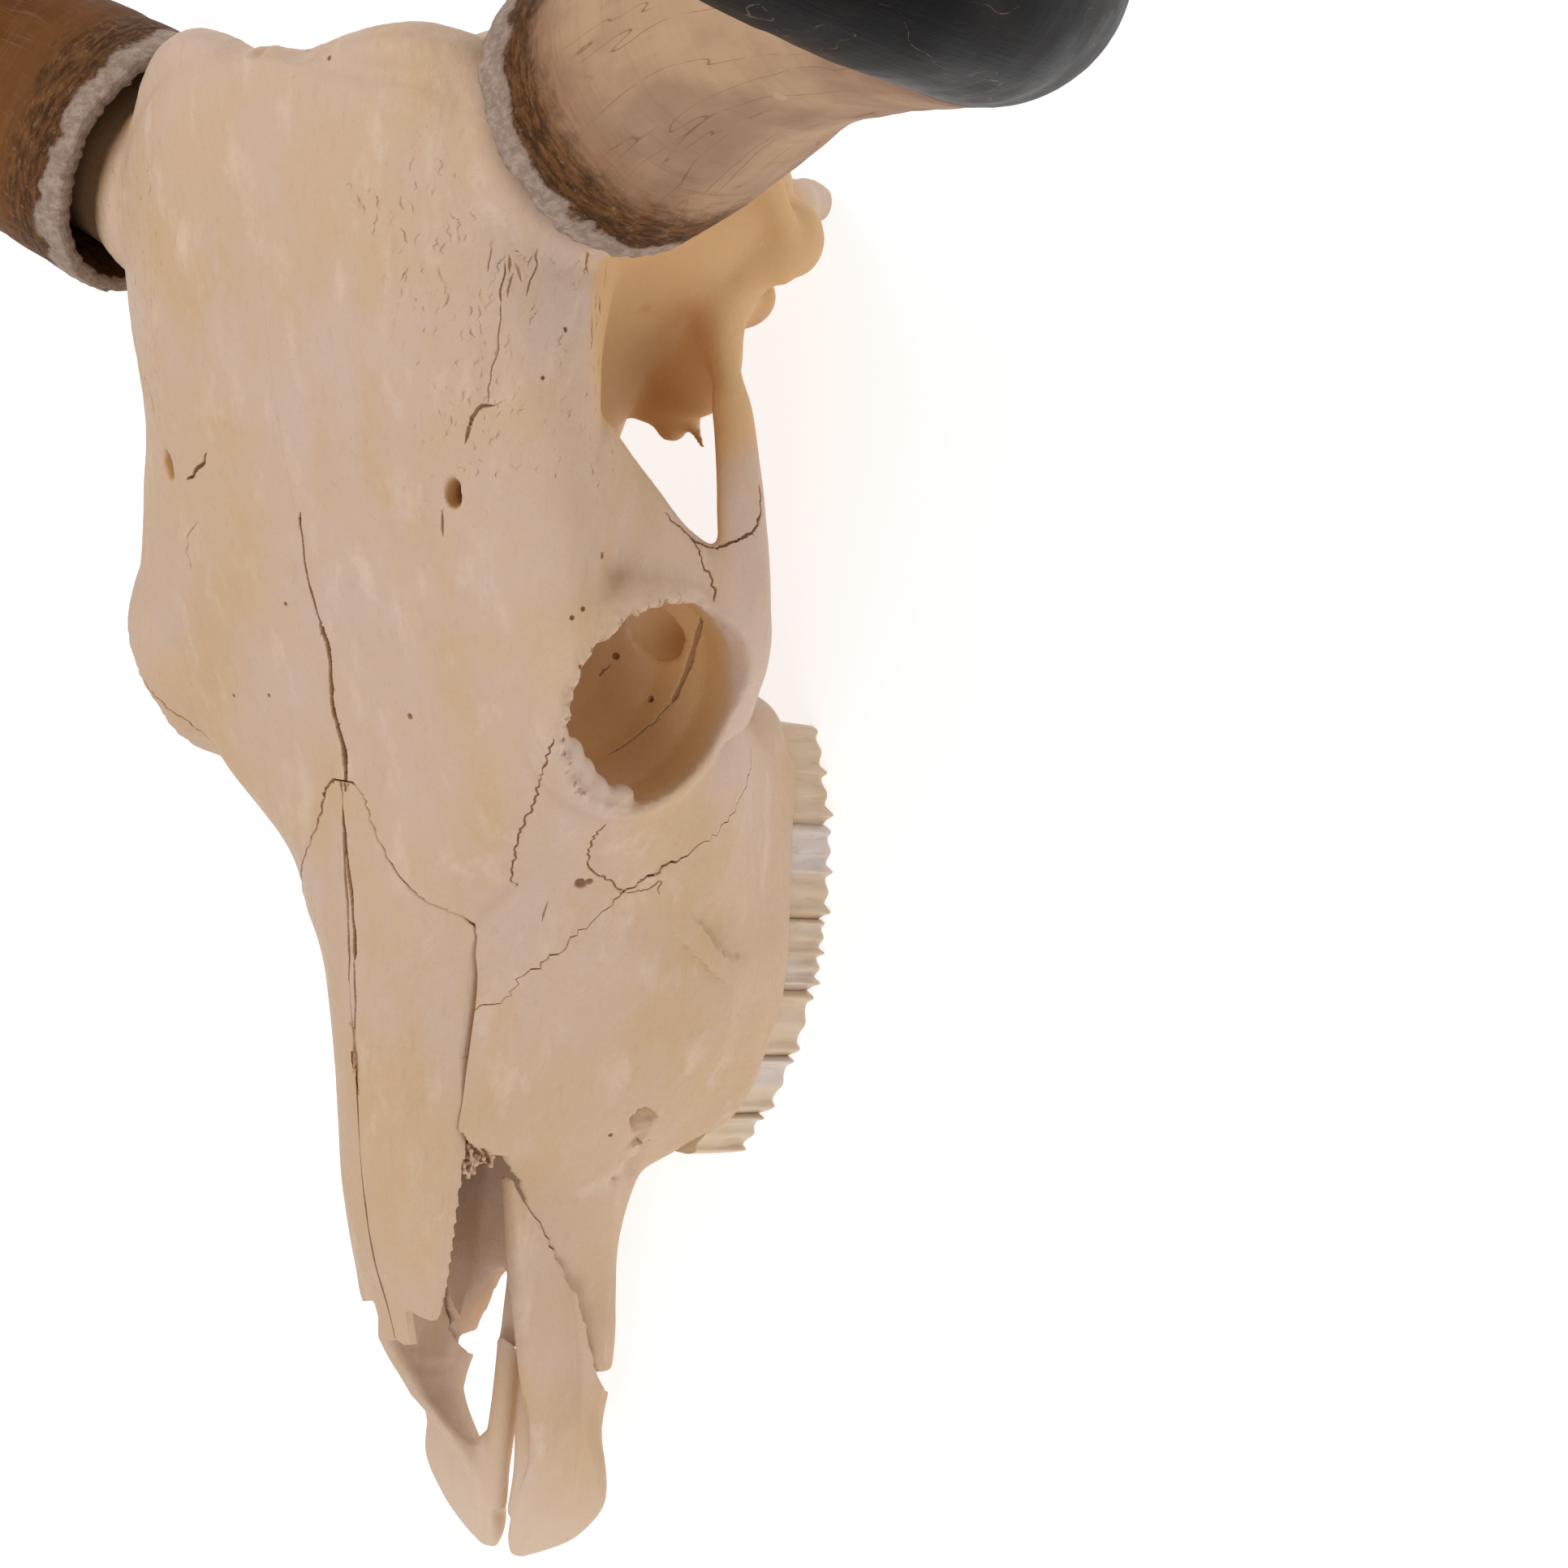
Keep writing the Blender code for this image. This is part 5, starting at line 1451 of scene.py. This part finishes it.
def rim_knobs(co, side):
    """Small knobs round the upper rim of one orbit."""
    rim, looks = [np.array(v) for v in orbit_frame(side)]
    along = (co - rim) @ looks
    away = np.linalg.norm(co - rim - along[:, None] * looks, axis=1)
    share = np.exp(-((away - 35.0) / 3.0) ** 2 - ((along - 1.0) / 6.0) ** 2) * ramp(co[:, 2], (112, 132))
    return RIM_KNOBS * share * (lattice_noise(co, 3.6, SEED + 18) + 0.5 * lattice_noise(co, 2.0, SEED + 19))


def uneven(piece):
    """Slight waves and a grain of the bone's surface, in the mesh itself."""
    co = coordinates(piece.data)
    normals = vertex_normals(piece.data)
    wave = 0.35 * lattice_noise(co, 26.0, SEED + 14) + 0.16 * lattice_noise(co, 9.0, SEED + 15)
    rough = ramp(co[:, 1], (300, 420)) * ramp(co[:, 2], (150, 200))
    wave += rough * (0.16 * stretched_noise(co, (1.0, 0.6, 1.0), 2.6, SEED + 16)
                     + 0.09 * stretched_noise(co, (1.0, 0.6, 1.0), 1.4, SEED + 17))
    back = ramp(co[:, 1], NECK_FACE) * ramp(normals[:, 1], (0.3, 0.8)) * ramp(co[:, 2], (12, 40))
    wave += back * (NECK_WAVES[0] * lattice_noise(co, 24.0, SEED + 21)
                    + NECK_WAVES[1] * lattice_noise(co, 8.0, SEED + 22))
    for side, _ in SIDES:
        wave += rim_knobs(co, side)
    wave *= ramp(co[:, 2], CLEAR_OF_FLOOR)
    set_coordinates(piece.data, co + normals * wave[:, None])


def slid(values, step, count):
    """Values moved so that each cell reads the one count steps ahead; outside counts as free."""
    out = np.ones_like(values)
    here = []
    there = []
    for size, way in zip(values.shape, step):
        move = way * count
        here.append(slice(max(0, -move), size - max(0, move)))
        there.append(slice(max(0, move), size - max(0, -move)))
    out[tuple(here)] = values[tuple(there)]
    return out


def sky_field(objects):
    """How freely each place on a grid sees out past the bones and horns, along fourteen ways."""
    free = np.ones(SKY_SHAPE, dtype=np.float32)
    for piece in objects:
        spots = np.floor((coordinates(piece.data) - SKY_LOW) / SKY_CELL).astype(np.int64)
        keep = ((spots >= 0) & (spots < np.array(SKY_SHAPE))).all(axis=1)
        free[tuple(spots[keep].T)] = 0.0
    field = []
    for way in AROUND:
        if sum(abs(w) for w in way) not in (1, 3):
            continue
        view = free
        count = 1
        while count < 32:
            view = view * slid(view, way, count)
            count *= 2
        for axis in range(3):
            view = view * 0.5 + (np.roll(view, 1, axis) + np.roll(view, -1, axis)) * 0.25
        field.append((way, view.ravel()))
    return field


def painted_hollow_shade(piece, field, reach=7.0):
    """Share of the surroundings that bones and horns hide from each point of the surface, painted as shade;
    places under the horns get painted shade as well.
    """
    co = coordinates(piece.data)
    normals = vertex_normals(piece.data)
    spots = (co + normals * reach - SKY_LOW) / SKY_CELL - 0.5
    base = np.floor(spots).astype(np.int64)
    part = spots - base
    total = np.zeros(len(spots))
    weight = np.full(len(spots), 1e-6)
    corners = []
    for step in CORNERS:
        k = np.clip(base + np.array(step), 0, np.array(SKY_SHAPE) - 1)
        share = np.abs(1 - np.array(step) - part).prod(axis=1)
        corners.append((np.ravel_multi_index(k.T, SKY_SHAPE), share))
    for way, view in field:
        way = np.array(way) / math.sqrt(sum(w * w for w in way))
        facing = np.maximum(0.0, normals @ way) * (0.2 + 0.8 * max(0.0, way[2]))
        total += sum(view[k] * share for k, share in corners) * facing
        weight += facing
    out = (1.0 - total / weight) * (0.55 + 0.45 * ramp(co[:, 1], FRONT_HOLLOW_SHADE))
    # Painted shade under the horns, on the temples and the back of the head.
    for centre, radii, strength in SHADE_UNDER_HORNS:
        for side, _ in SIDES:
            away = np.linalg.norm((co - np.array(on_side(centre, side))) / np.array(radii), axis=1)
            share = strength * (1 - ramp(away, (0.75, 1.15))) * (1 - ramp(co[:, 2], SHADE_UNDER_HORNS_TOP))
            out = np.maximum(out, share)
    return out


def core_shade_share(piece):
    """1 on the horn cores inside the sheaths, where painted shade goes, 0 on all other bone."""
    co = coordinates(piece.data)
    share = np.zeros(len(co))
    for side, _ in SIDES:
        base, axis = [np.array(v) for v in horn_axis(side)]
        offset = co - base
        along = offset @ axis
        away = np.linalg.norm(offset - along[:, None] * axis, axis=1)
        share = np.maximum(share, ramp(along, CORE_SHADE_FROM) * (1 - ramp(away, (42.0, 48.0))))
    return share


def sponge_piece():
    """Spongy remnant of the nose's scrolls: small balls and struts grown together."""
    rng = np.random.default_rng(SEED + 70)
    centre, radii = [np.array(v, dtype=float) for v in SPONGE]
    places = []
    while len(places) < SPONGE_BALLS:
        offset = rng.uniform(-1, 1, 3)
        if np.linalg.norm(offset) < 1:
            places.append(centre + offset * radii)
    parts = []
    for k, place in enumerate(places):
        parts.append(ball_rings(tuple(place), (0.9, 0.9, 0.9), 10, 6))
        away = [np.linalg.norm(place - other) for other in places]
        for n in np.argsort(away)[1:4]:
            if n > k:
                parts.append(limb_rings([tuple(place), tuple(places[n])], (0.55, 0.55), (0.55, 0.55),
                                        sides=8, steps=1))
    piece = shell_object("skull_nose_sponge", *parts)
    remesh(piece, 0.42, 2)
    keep_largest(piece)
    return piece


def store(piece, name, values):
    """Keep one number for each vertex, for the material to read."""
    layer = piece.data.attributes.new(name, "FLOAT", "POINT")
    layer.data.foreach_set("value", values.astype(np.float32))


def surface_tree(piece):
    """Search tree of a piece's surface as it is now."""
    return BVHTree.FromObject(piece, bpy.context.evaluated_depsgraph_get())


def crack_samples(piece):
    """Samples of all cracks, seams, chips and pits that lie on a piece."""
    tree = surface_tree(piece)
    runs = list(CRACKS) + chips(1) + chips(-1)
    runs += [(tuple(mirrored(p) for p in run[0]),) + run[1:] for run in CRACKS if run[6]]
    samples = []
    for k, run in enumerate(runs):
        samples += surface_run(run, tree, SEED * 100 + k)
    # Pits are darkened with painted shade.
    for place, radius, depth in PITS:
        spot, _, _, away = tree.find_nearest(to_world(place))
        if away < 5 * MM:
            samples.append((from_world(spot), radius * 2, depth, 0.7))
    return samples


def dress_bone(piece, field, fine=True):
    """All work on one bone's surface: forms, unevenness, cracks, pits and what colours them."""
    shape_forms(piece)
    uneven(piece)
    samples = crack_samples(piece) if fine else []
    seam = np.zeros(len(piece.data.vertices))
    if samples:
        refine(piece, samples, (1.5, 0.8, 0.4))
        seam = carve(piece, samples, 0.35)
    # The seams' darkness is partly dirt and partly painted shade; the hollows and horn cores get painted
    # shade.
    store(piece, "seam", seam)
    store(piece, "painted_hollow_shade", painted_hollow_shade(piece, field))
    store(piece, "core", core_shade_share(piece))
    finish_surface(piece, BONE)


def finish_surface(piece, finish):
    """Give a piece its material and smooth shading with sharp edges."""
    piece.data.materials.clear()
    piece.data.materials.append(finish)
    piece.data.shade_smooth()
    piece.data.set_sharp_from_angle(angle=SHARP_ANGLE)


def add_node(tree, kind, inputs=None, **settings):
    """Add a node, with its settings, and the values or links of its inputs."""
    made = tree.nodes.new(kind)
    for key, value in settings.items():
        setattr(made, key, value)
    for key, value in (inputs or {}).items():
        if isinstance(value, bpy.types.NodeSocket):
            tree.links.new(value, made.inputs[key])
        else:
            made.inputs[key].default_value = value
    return made


def start_material(name, roughness):
    """A new material with its nodes and its shader."""
    mat = bpy.data.materials.new(name)
    mat.use_nodes = True
    shader = mat.node_tree.nodes["Principled BSDF"]
    shader.inputs["Roughness"].default_value = roughness
    return mat, mat.node_tree, shader


def noise(tree, place, stretch, scale, detail, rough):
    """Noise between 0 and 1 on places that are stretched by a factor for each axis."""
    if stretch:
        place = add_node(tree, "ShaderNodeMapping", {"Vector": place, "Scale": stretch}).outputs["Vector"]
    return add_node(tree, "ShaderNodeTexNoise", {"Vector": place, "Scale": scale, "Detail": detail,
                                                 "Roughness": rough}).outputs["Fac"]


def steps(tree, value, low, high, to_low=0.0, to_high=1.0):
    """A value carried smoothly from one range to another."""
    return add_node(tree, "ShaderNodeMapRange", {"Value": value, "From Min": low, "From Max": high,
                                                 "To Min": to_low, "To Max": to_high},
                    interpolation_type="SMOOTHSTEP").outputs["Result"]


def mixed(tree, share, first, second):
    """Mix of two colours by a share; the sockets go by number, since several have the same name."""
    return add_node(tree, "ShaderNodeMix", {0: share, 6: first, 7: second}, data_type="RGBA").outputs[2]


def washed(tree, tone, colour, value, low, high, start=0.0, full=1.0):
    """Tone that turns towards a colour where the value rises from low to high."""
    return mixed(tree, steps(tree, value, low, high, start, full), tone, colour)


def times(tree, first, second, operation="MULTIPLY"):
    """Product of two values, or another operation on them."""
    return add_node(tree, "ShaderNodeMath", {0: first, 1: second}, operation=operation).outputs["Value"]


def plus(tree, first, second):
    """Sum of two values."""
    return times(tree, first, second, "ADD")


def attribute(tree, name, output="Fac"):
    """What the mesh keeps at its vertices under a name."""
    return add_node(tree, "ShaderNodeAttribute", attribute_name=name).outputs[output]


def dress_shader(tree, shader, tone, height, strength, distance):
    """Give a shader its colour and the relief of its surface."""
    bump = add_node(tree, "ShaderNodeBump", {"Strength": strength, "Distance": distance, "Height": height})
    tree.links.new(tone, shader.inputs["Base Color"])
    tree.links.new(bump.outputs["Normal"], shader.inputs["Normal"])


# Layers of the bone's colour: stretch, scale, detail and roughness of the noise, where it starts and
# ends, strength and colour.
BONE_LAYERS = (
    ((1.0, 0.35, 1.0), 24.0, 5.0, 0.65, 0.46, 0.68, 0.75, BONE_YELLOW),
    ((1.3, 0.5, 1.3), 55.0, 5.0, 0.65, 0.52, 0.75, 0.55, BONE_PALE),
    ((1.0, 0.16, 1.0), 420.0, 3.0, 0.6, 0.55, 0.75, 0.2, BONE_SPECK),
    (None, 900.0, 2.0, 0.6, 0.6, 0.75, 0.3, BONE_SPECK),
)


def bone_material():
    """Weathered bone: pinkish and yellow clouds on cream, painted brown shade in the hollows and on the horn
    cores, seams dark with dirt and painted shade, fine pores.
    """
    mat, tree, shader = start_material("aged_bone", 0.62)
    place = add_node(tree, "ShaderNodeTexCoord").outputs["Object"]
    clouds = noise(tree, place, None, 11.0, 4.0, 0.6)
    tone = mixed(tree, steps(tree, clouds, 0.4, 0.58), BONE_PINK, BONE_CREAM)
    for stretch, scale, detail, rough, low, high, strength, colour in BONE_LAYERS:
        layer = noise(tree, place, stretch, scale, detail, rough)
        tone = washed(tree, tone, colour, layer, low, high, 0.0, strength)
    front = add_node(tree, "ShaderNodeSeparateXYZ", {"Vector": place}).outputs["Y"]
    tone = washed(tree, tone, BONE_PALE, front, *PALE_FRONT, 0.75, 0.0)
    hollow_shade_share = plus(tree, attribute(tree, "painted_hollow_shade"), steps(tree, clouds, 0.3, 0.7, -0.04, 0.04))
    # Painted shade: the hollows turn warm brown as bones and horns hide them.
    tone = washed(tree, tone, BONE_HOLLOW_SHADE, hollow_shade_share, *HOLLOW_SHADE_LIMITS, 0.0, 0.95)
    # Painted shade on the horn cores inside the sheaths.
    tone = mixed(tree, times(tree, attribute(tree, "core"), 0.85), tone, BONE_CORE_SHADE)
    seam = attribute(tree, "seam")
    # Seams: dirt in the joints and painted shade in the cracks and pits.
    tone = washed(tree, tone, BONE_SEAM_STAIN_AND_SHADE, seam, 0.02, 0.35, 0.0, 0.85)
    tone = washed(tree, tone, BONE_SEAM_DARK_AND_SHADE, seam, 0.35, 1.0, 0.0, 0.95)
    grain = noise(tree, place, None, 420.0, 4.0, 0.6)
    fine = noise(tree, place, (1.0, 0.45, 1.0), 1300.0, 3.0, 0.6)
    pores = add_node(tree, "ShaderNodeTexVoronoi", {"Vector": place, "Scale": 700.0}).outputs["Distance"]
    height = plus(tree, times(tree, steps(tree, pores, 0.0, 0.28), 0.35), times(tree, grain, 0.9))
    height = plus(tree, height, times(tree, fine, 0.6))
    dress_shader(tree, shader, tone, height, 0.5, 0.0004)
    tree.links.new(steps(tree, grain, 0.3, 0.7, 0.52, 0.74), shader.inputs["Roughness"])
    return mat


def enamel_material():
    """Cream to bluish-white enamel with fine upright stained lines."""
    mat, tree, shader = start_material("tooth_enamel", 0.35)
    place = add_node(tree, "ShaderNodeTexCoord").outputs["Object"]
    lines = noise(tree, place, (1.0, 1.0, 0.15), 500.0, 3.0, 0.6)
    cloud = noise(tree, place, None, 90.0, 3.0, 0.6)
    tint = plus(tree, attribute(tree, "tint"), steps(tree, cloud, 0.3, 0.7, -0.15, 0.15))
    tone = mixed(tree, tint, ENAMEL_CREAM, ENAMEL_WHITE)
    tone = washed(tree, tone, ENAMEL_STAIN, lines, 0.5, 0.8, 0.0, 0.45)
    dress_shader(tree, shader, tone, lines, 0.3, 0.0003)
    return mat


def thin_lines(tree, place, stretch, width):
    """1 along the thin wandering lines where a stretched noise crosses its middle value."""
    value = noise(tree, place, stretch, 1.0, 2.0, 0.5)
    away = times(tree, times(tree, value, 0.5, "SUBTRACT"), 0.0, "ABSOLUTE")
    return steps(tree, away, 0.0, width, 1.0, 0.0)


# Noises of the horn, on its grain in millimetres: stretch, detail and roughness.
HORN_NOISES = {
    "wobble": ((0.05, 0.05, 0.02), 3.0, 0.6),
    "ragged": ((0.16, 0.16, 0.16), 5.0, 0.7),
    "growth": ((0.02, 0.02, 0.22), 4.0, 0.7),
    "fibre": ((0.9, 0.9, 0.06), 4.0, 0.65),
    "crumbs": ((0.32, 0.32, 0.32), 6.0, 0.72),
    "cloud": ((0.03, 0.03, 0.012), 4.0, 0.6),
    "worn": ((0.06, 0.06, 0.05), 3.0, 0.6),
    "layers": ((0.13, 0.13, 0.42), 6.0, 0.75),
}


def tan_horn(tree, noises, hairs, depth, tones):
    """Middle of the sheath: two clouded tones with growth lines, hairs and grey fibres."""
    tan = mixed(tree, steps(tree, noises["cloud"], 0.35, 0.65), *tones)
    near_rim = steps(tree, depth, 40.0, 90.0, 0.55, 0.12)
    tan = mixed(tree, times(tree, steps(tree, noises["growth"], 0.48, 0.75), near_rim), tan, HORN_LINE)
    tan = mixed(tree, times(tree, hairs, steps(tree, depth, 30.0, 60.0, 0.2, 0.8)), tan, HORN_LINE)
    return washed(tree, tan, HORN_GREY, noises["fibre"], 0.55, 0.8, 0.0, 0.3)


def rim_bands(tree, noises, depth, tan):
    """Pale crumbly rim and the dark layered band behind it, which fades into the tan horn."""
    layers, crumbs = noises["layers"], noises["crumbs"]
    band = mixed(tree, steps(tree, layers, 0.38, 0.68), HORN_DARK, HORN_RUST)
    band = washed(tree, band, HORN_GREY, crumbs, 0.55, 0.72, 0.0, 0.6)
    stain = times(tree, steps(tree, depth, 24.0, 66.0, 0.75, 0.0), steps(tree, layers, 0.3, 0.6, 1.0, 0.45))
    tone = washed(tree, band, mixed(tree, stain, tan, HORN_RUST), depth, 22.0, 38.0)
    rim = mixed(tree, steps(tree, crumbs, 0.4, 0.62), HORN_RIM_DARK, HORN_RIM)
    return washed(tree, rim, tone, depth, 8.0, 11.0)


def black_tip(tree, noises, grain, black_edge, tone):
    """The horn's reddish passage into its black and smoky, scratched tip."""
    scratches = times(tree, thin_lines(tree, grain, (0.05, 0.07, 0.03), 0.004),
                      steps(tree, noises["crumbs"], 0.45, 0.6))
    reddish = washed(tree, tone, HORN_RED, black_edge, -60.0, -5.0, 0.0, 0.85)
    black = washed(tree, HORN_BLACK, HORN_SMOKE, noises["worn"], 0.5, 0.75, 0.0, 0.7)
    black = mixed(tree, times(tree, scratches, 0.5), black, HORN_GREY)
    return washed(tree, reddish, black, black_edge, -9.0, 9.0)


def pale_scar(tree, grain, tone):
    """Worn pale oval spot on the bend."""
    place = add_node(tree, "ShaderNodeMapping", {"Vector": grain, "Scale": HORN_SCAR_STRETCH})
    centre = tuple(p * s for p, s in zip(HORN_SCAR, HORN_SCAR_STRETCH))
    away = add_node(tree, "ShaderNodeVectorMath", {0: place.outputs["Vector"], 1: centre},
                    operation="DISTANCE").outputs["Value"]
    return washed(tree, tone, HORN_PALE, away, 0.8, 1.1, 0.8, 0.0)


def horn_material(name, *tones):
    """Horn from its pale frayed rim over dark bands and tan growth lines to the half-glossy tip."""
    mat, tree, shader = start_material(name, 0.45)
    shader.inputs["Specular IOR Level"].default_value = 0.04
    along = attribute(tree, "along")
    grain = attribute(tree, "grain", "Vector")
    noises = {key: noise(tree, grain, stretch, 1.0, detail, rough)
              for key, (stretch, detail, rough) in HORN_NOISES.items()}
    worn, crumbs, fibre = noises["worn"], noises["crumbs"], noises["fibre"]
    ragged_edge = plus(tree, steps(tree, noises["ragged"], 0.2, 0.8, -3.0, 3.0),
                       steps(tree, noises["wobble"], 0.2, 0.8, -5.0, 5.0))
    depth = plus(tree, along, ragged_edge)
    hairs = times(tree, thin_lines(tree, grain, (0.10, 0.10, 0.006), 0.007), steps(tree, worn, 0.36, 0.50))
    black_edge = plus(tree, attribute(tree, "dark"), steps(tree, noises["cloud"], 0.2, 0.8, -14.0, 14.0))
    tone = rim_bands(tree, noises, depth, tan_horn(tree, noises, hairs, depth, tones))
    tone = pale_scar(tree, grain, black_tip(tree, noises, grain, black_edge, tone))
    inside = mixed(tree, steps(tree, fibre, 0.4, 0.7), HORN_INSIDE, HORN_DARK)
    tone = washed(tree, inside, tone, along, -1.5, -0.5)
    rough = plus(tree, steps(tree, black_edge, -9.0, 9.0, 0.55, 0.38),
                 steps(tree, worn, 0.3, 0.7, -0.05, 0.08))
    tree.links.new(rough, shader.inputs["Roughness"])
    height = plus(tree, times(tree, fibre, 0.9), times(tree, noises["growth"], 0.5))
    height = plus(tree, height, times(tree, crumbs, steps(tree, depth, 8.0, 30.0, 2.4, 0.15)))
    height = plus(tree, height, times(tree, hairs, -0.25))
    dress_shader(tree, shader, tone, height, steps(tree, depth, 8.0, 40.0, 1.0, 0.28), 0.0007)
    return mat


def add_camera():
    """Camera with the photo's view."""
    data = bpy.data.cameras.new("photo_camera")
    data.sensor_width = 36.0
    data.lens = CAMERA_LENS
    data.shift_x, data.shift_y = CAMERA_SHIFT
    camera = placed("photo_camera", data)
    axes = [axis.normalized() for axis in (CAMERA_RIGHT, CAMERA_UP, CAMERA_BACK)]
    turn = Matrix(axes).transposed()
    camera.matrix_world = Matrix.Translation(to_world(CAMERA_PLACE)) @ turn.to_4x4()
    bpy.context.scene.camera = camera


def add_light(name, place, target, size, power, colour):
    """One round soft lamp that looks at its target."""
    data = bpy.data.lights.new(name, "AREA")
    data.shape = "DISK"
    data.size = size
    data.energy = power
    data.color = colour
    lamp = placed(name, data)
    lamp.location = place
    lamp.rotation_euler = (Vector(target) - Vector(place)).to_track_quat("-Z", "Y").to_euler()


def add_floor():
    """Wide pale floor with a glow of its own."""
    bm = bmesh.new()
    bmesh.ops.create_grid(bm, x_segments=1, y_segments=1, size=6.0)
    floor = mesh_object("floor", bm)
    finish, _, shader = start_material("pale_floor", 0.8)
    shader.inputs["Base Color"].default_value = FLOOR_GREY
    shader.inputs["Emission Color"].default_value = WHITE
    shader.inputs["Emission Strength"].default_value = FLOOR_GLOW
    floor.data.materials.append(finish)


def light_world():
    """White surroundings and the lamps."""
    world = bpy.data.worlds.new("studio")
    world.use_nodes = True
    background = world.node_tree.nodes["Background"]
    background.inputs["Color"].default_value = WHITE
    background.inputs["Strength"].default_value = WORLD_STRENGTH
    bpy.context.scene.world = world
    for values in LIGHTS:
        add_light(*values)


def fit(piece, node):
    """Put a piece on the root body in the place of a node."""
    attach(piece, "root")
    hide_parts(node)


def build_skull():
    """All pieces of the skull, dressed and put in the places of the part's nodes."""
    body, roof = bone_body()
    bones = [(cranium_piece(body), "cranium")]
    for side, tag in SIDES:
        bones.append((jaw_piece(body, side, tag), "upper_jaw_" + tag))
        bones.append((nasal_piece(roof, side, tag), "nasal_" + tag))
        bones.append((incisive_piece(side, tag), "incisive_" + tag))
    rows = [(tooth_row(side, tag), "upper_jaw_" + tag) for side, tag in SIDES]
    horns = [(horn_piece(side, tag), "horn_" + tag) for side, tag in SIDES]
    sponge = sponge_piece()
    thin = [piece for piece, node in bones if node.startswith(("nasal", "incisive"))]
    field = sky_field([body] + thin + [piece for piece, _ in horns])
    for helper in (body, roof):
        bpy.data.objects.remove(helper, do_unlink=True)
    for piece, _ in bones:
        dress_bone(piece, field)
    for piece, _ in rows:
        finish_surface(piece, ENAMEL)
    dress_bone(sponge, field, fine=False)
    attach(sponge, "root")
    for piece, node in bones + rows:
        fit(piece, node)
    for piece, node in horns:
        fit(piece, node)


BONE = bone_material()
ENAMEL = enamel_material()
HORNS = {"left": horn_material("aged_horn_left", HORN_TAN, HORN_PINK),
         "right": horn_material("aged_horn_right", HORN_BROWN, HORN_UMBER)}
build_skull()
bpy.context.scene.view_settings.view_transform = "Standard"
add_camera()
add_floor()
light_world()
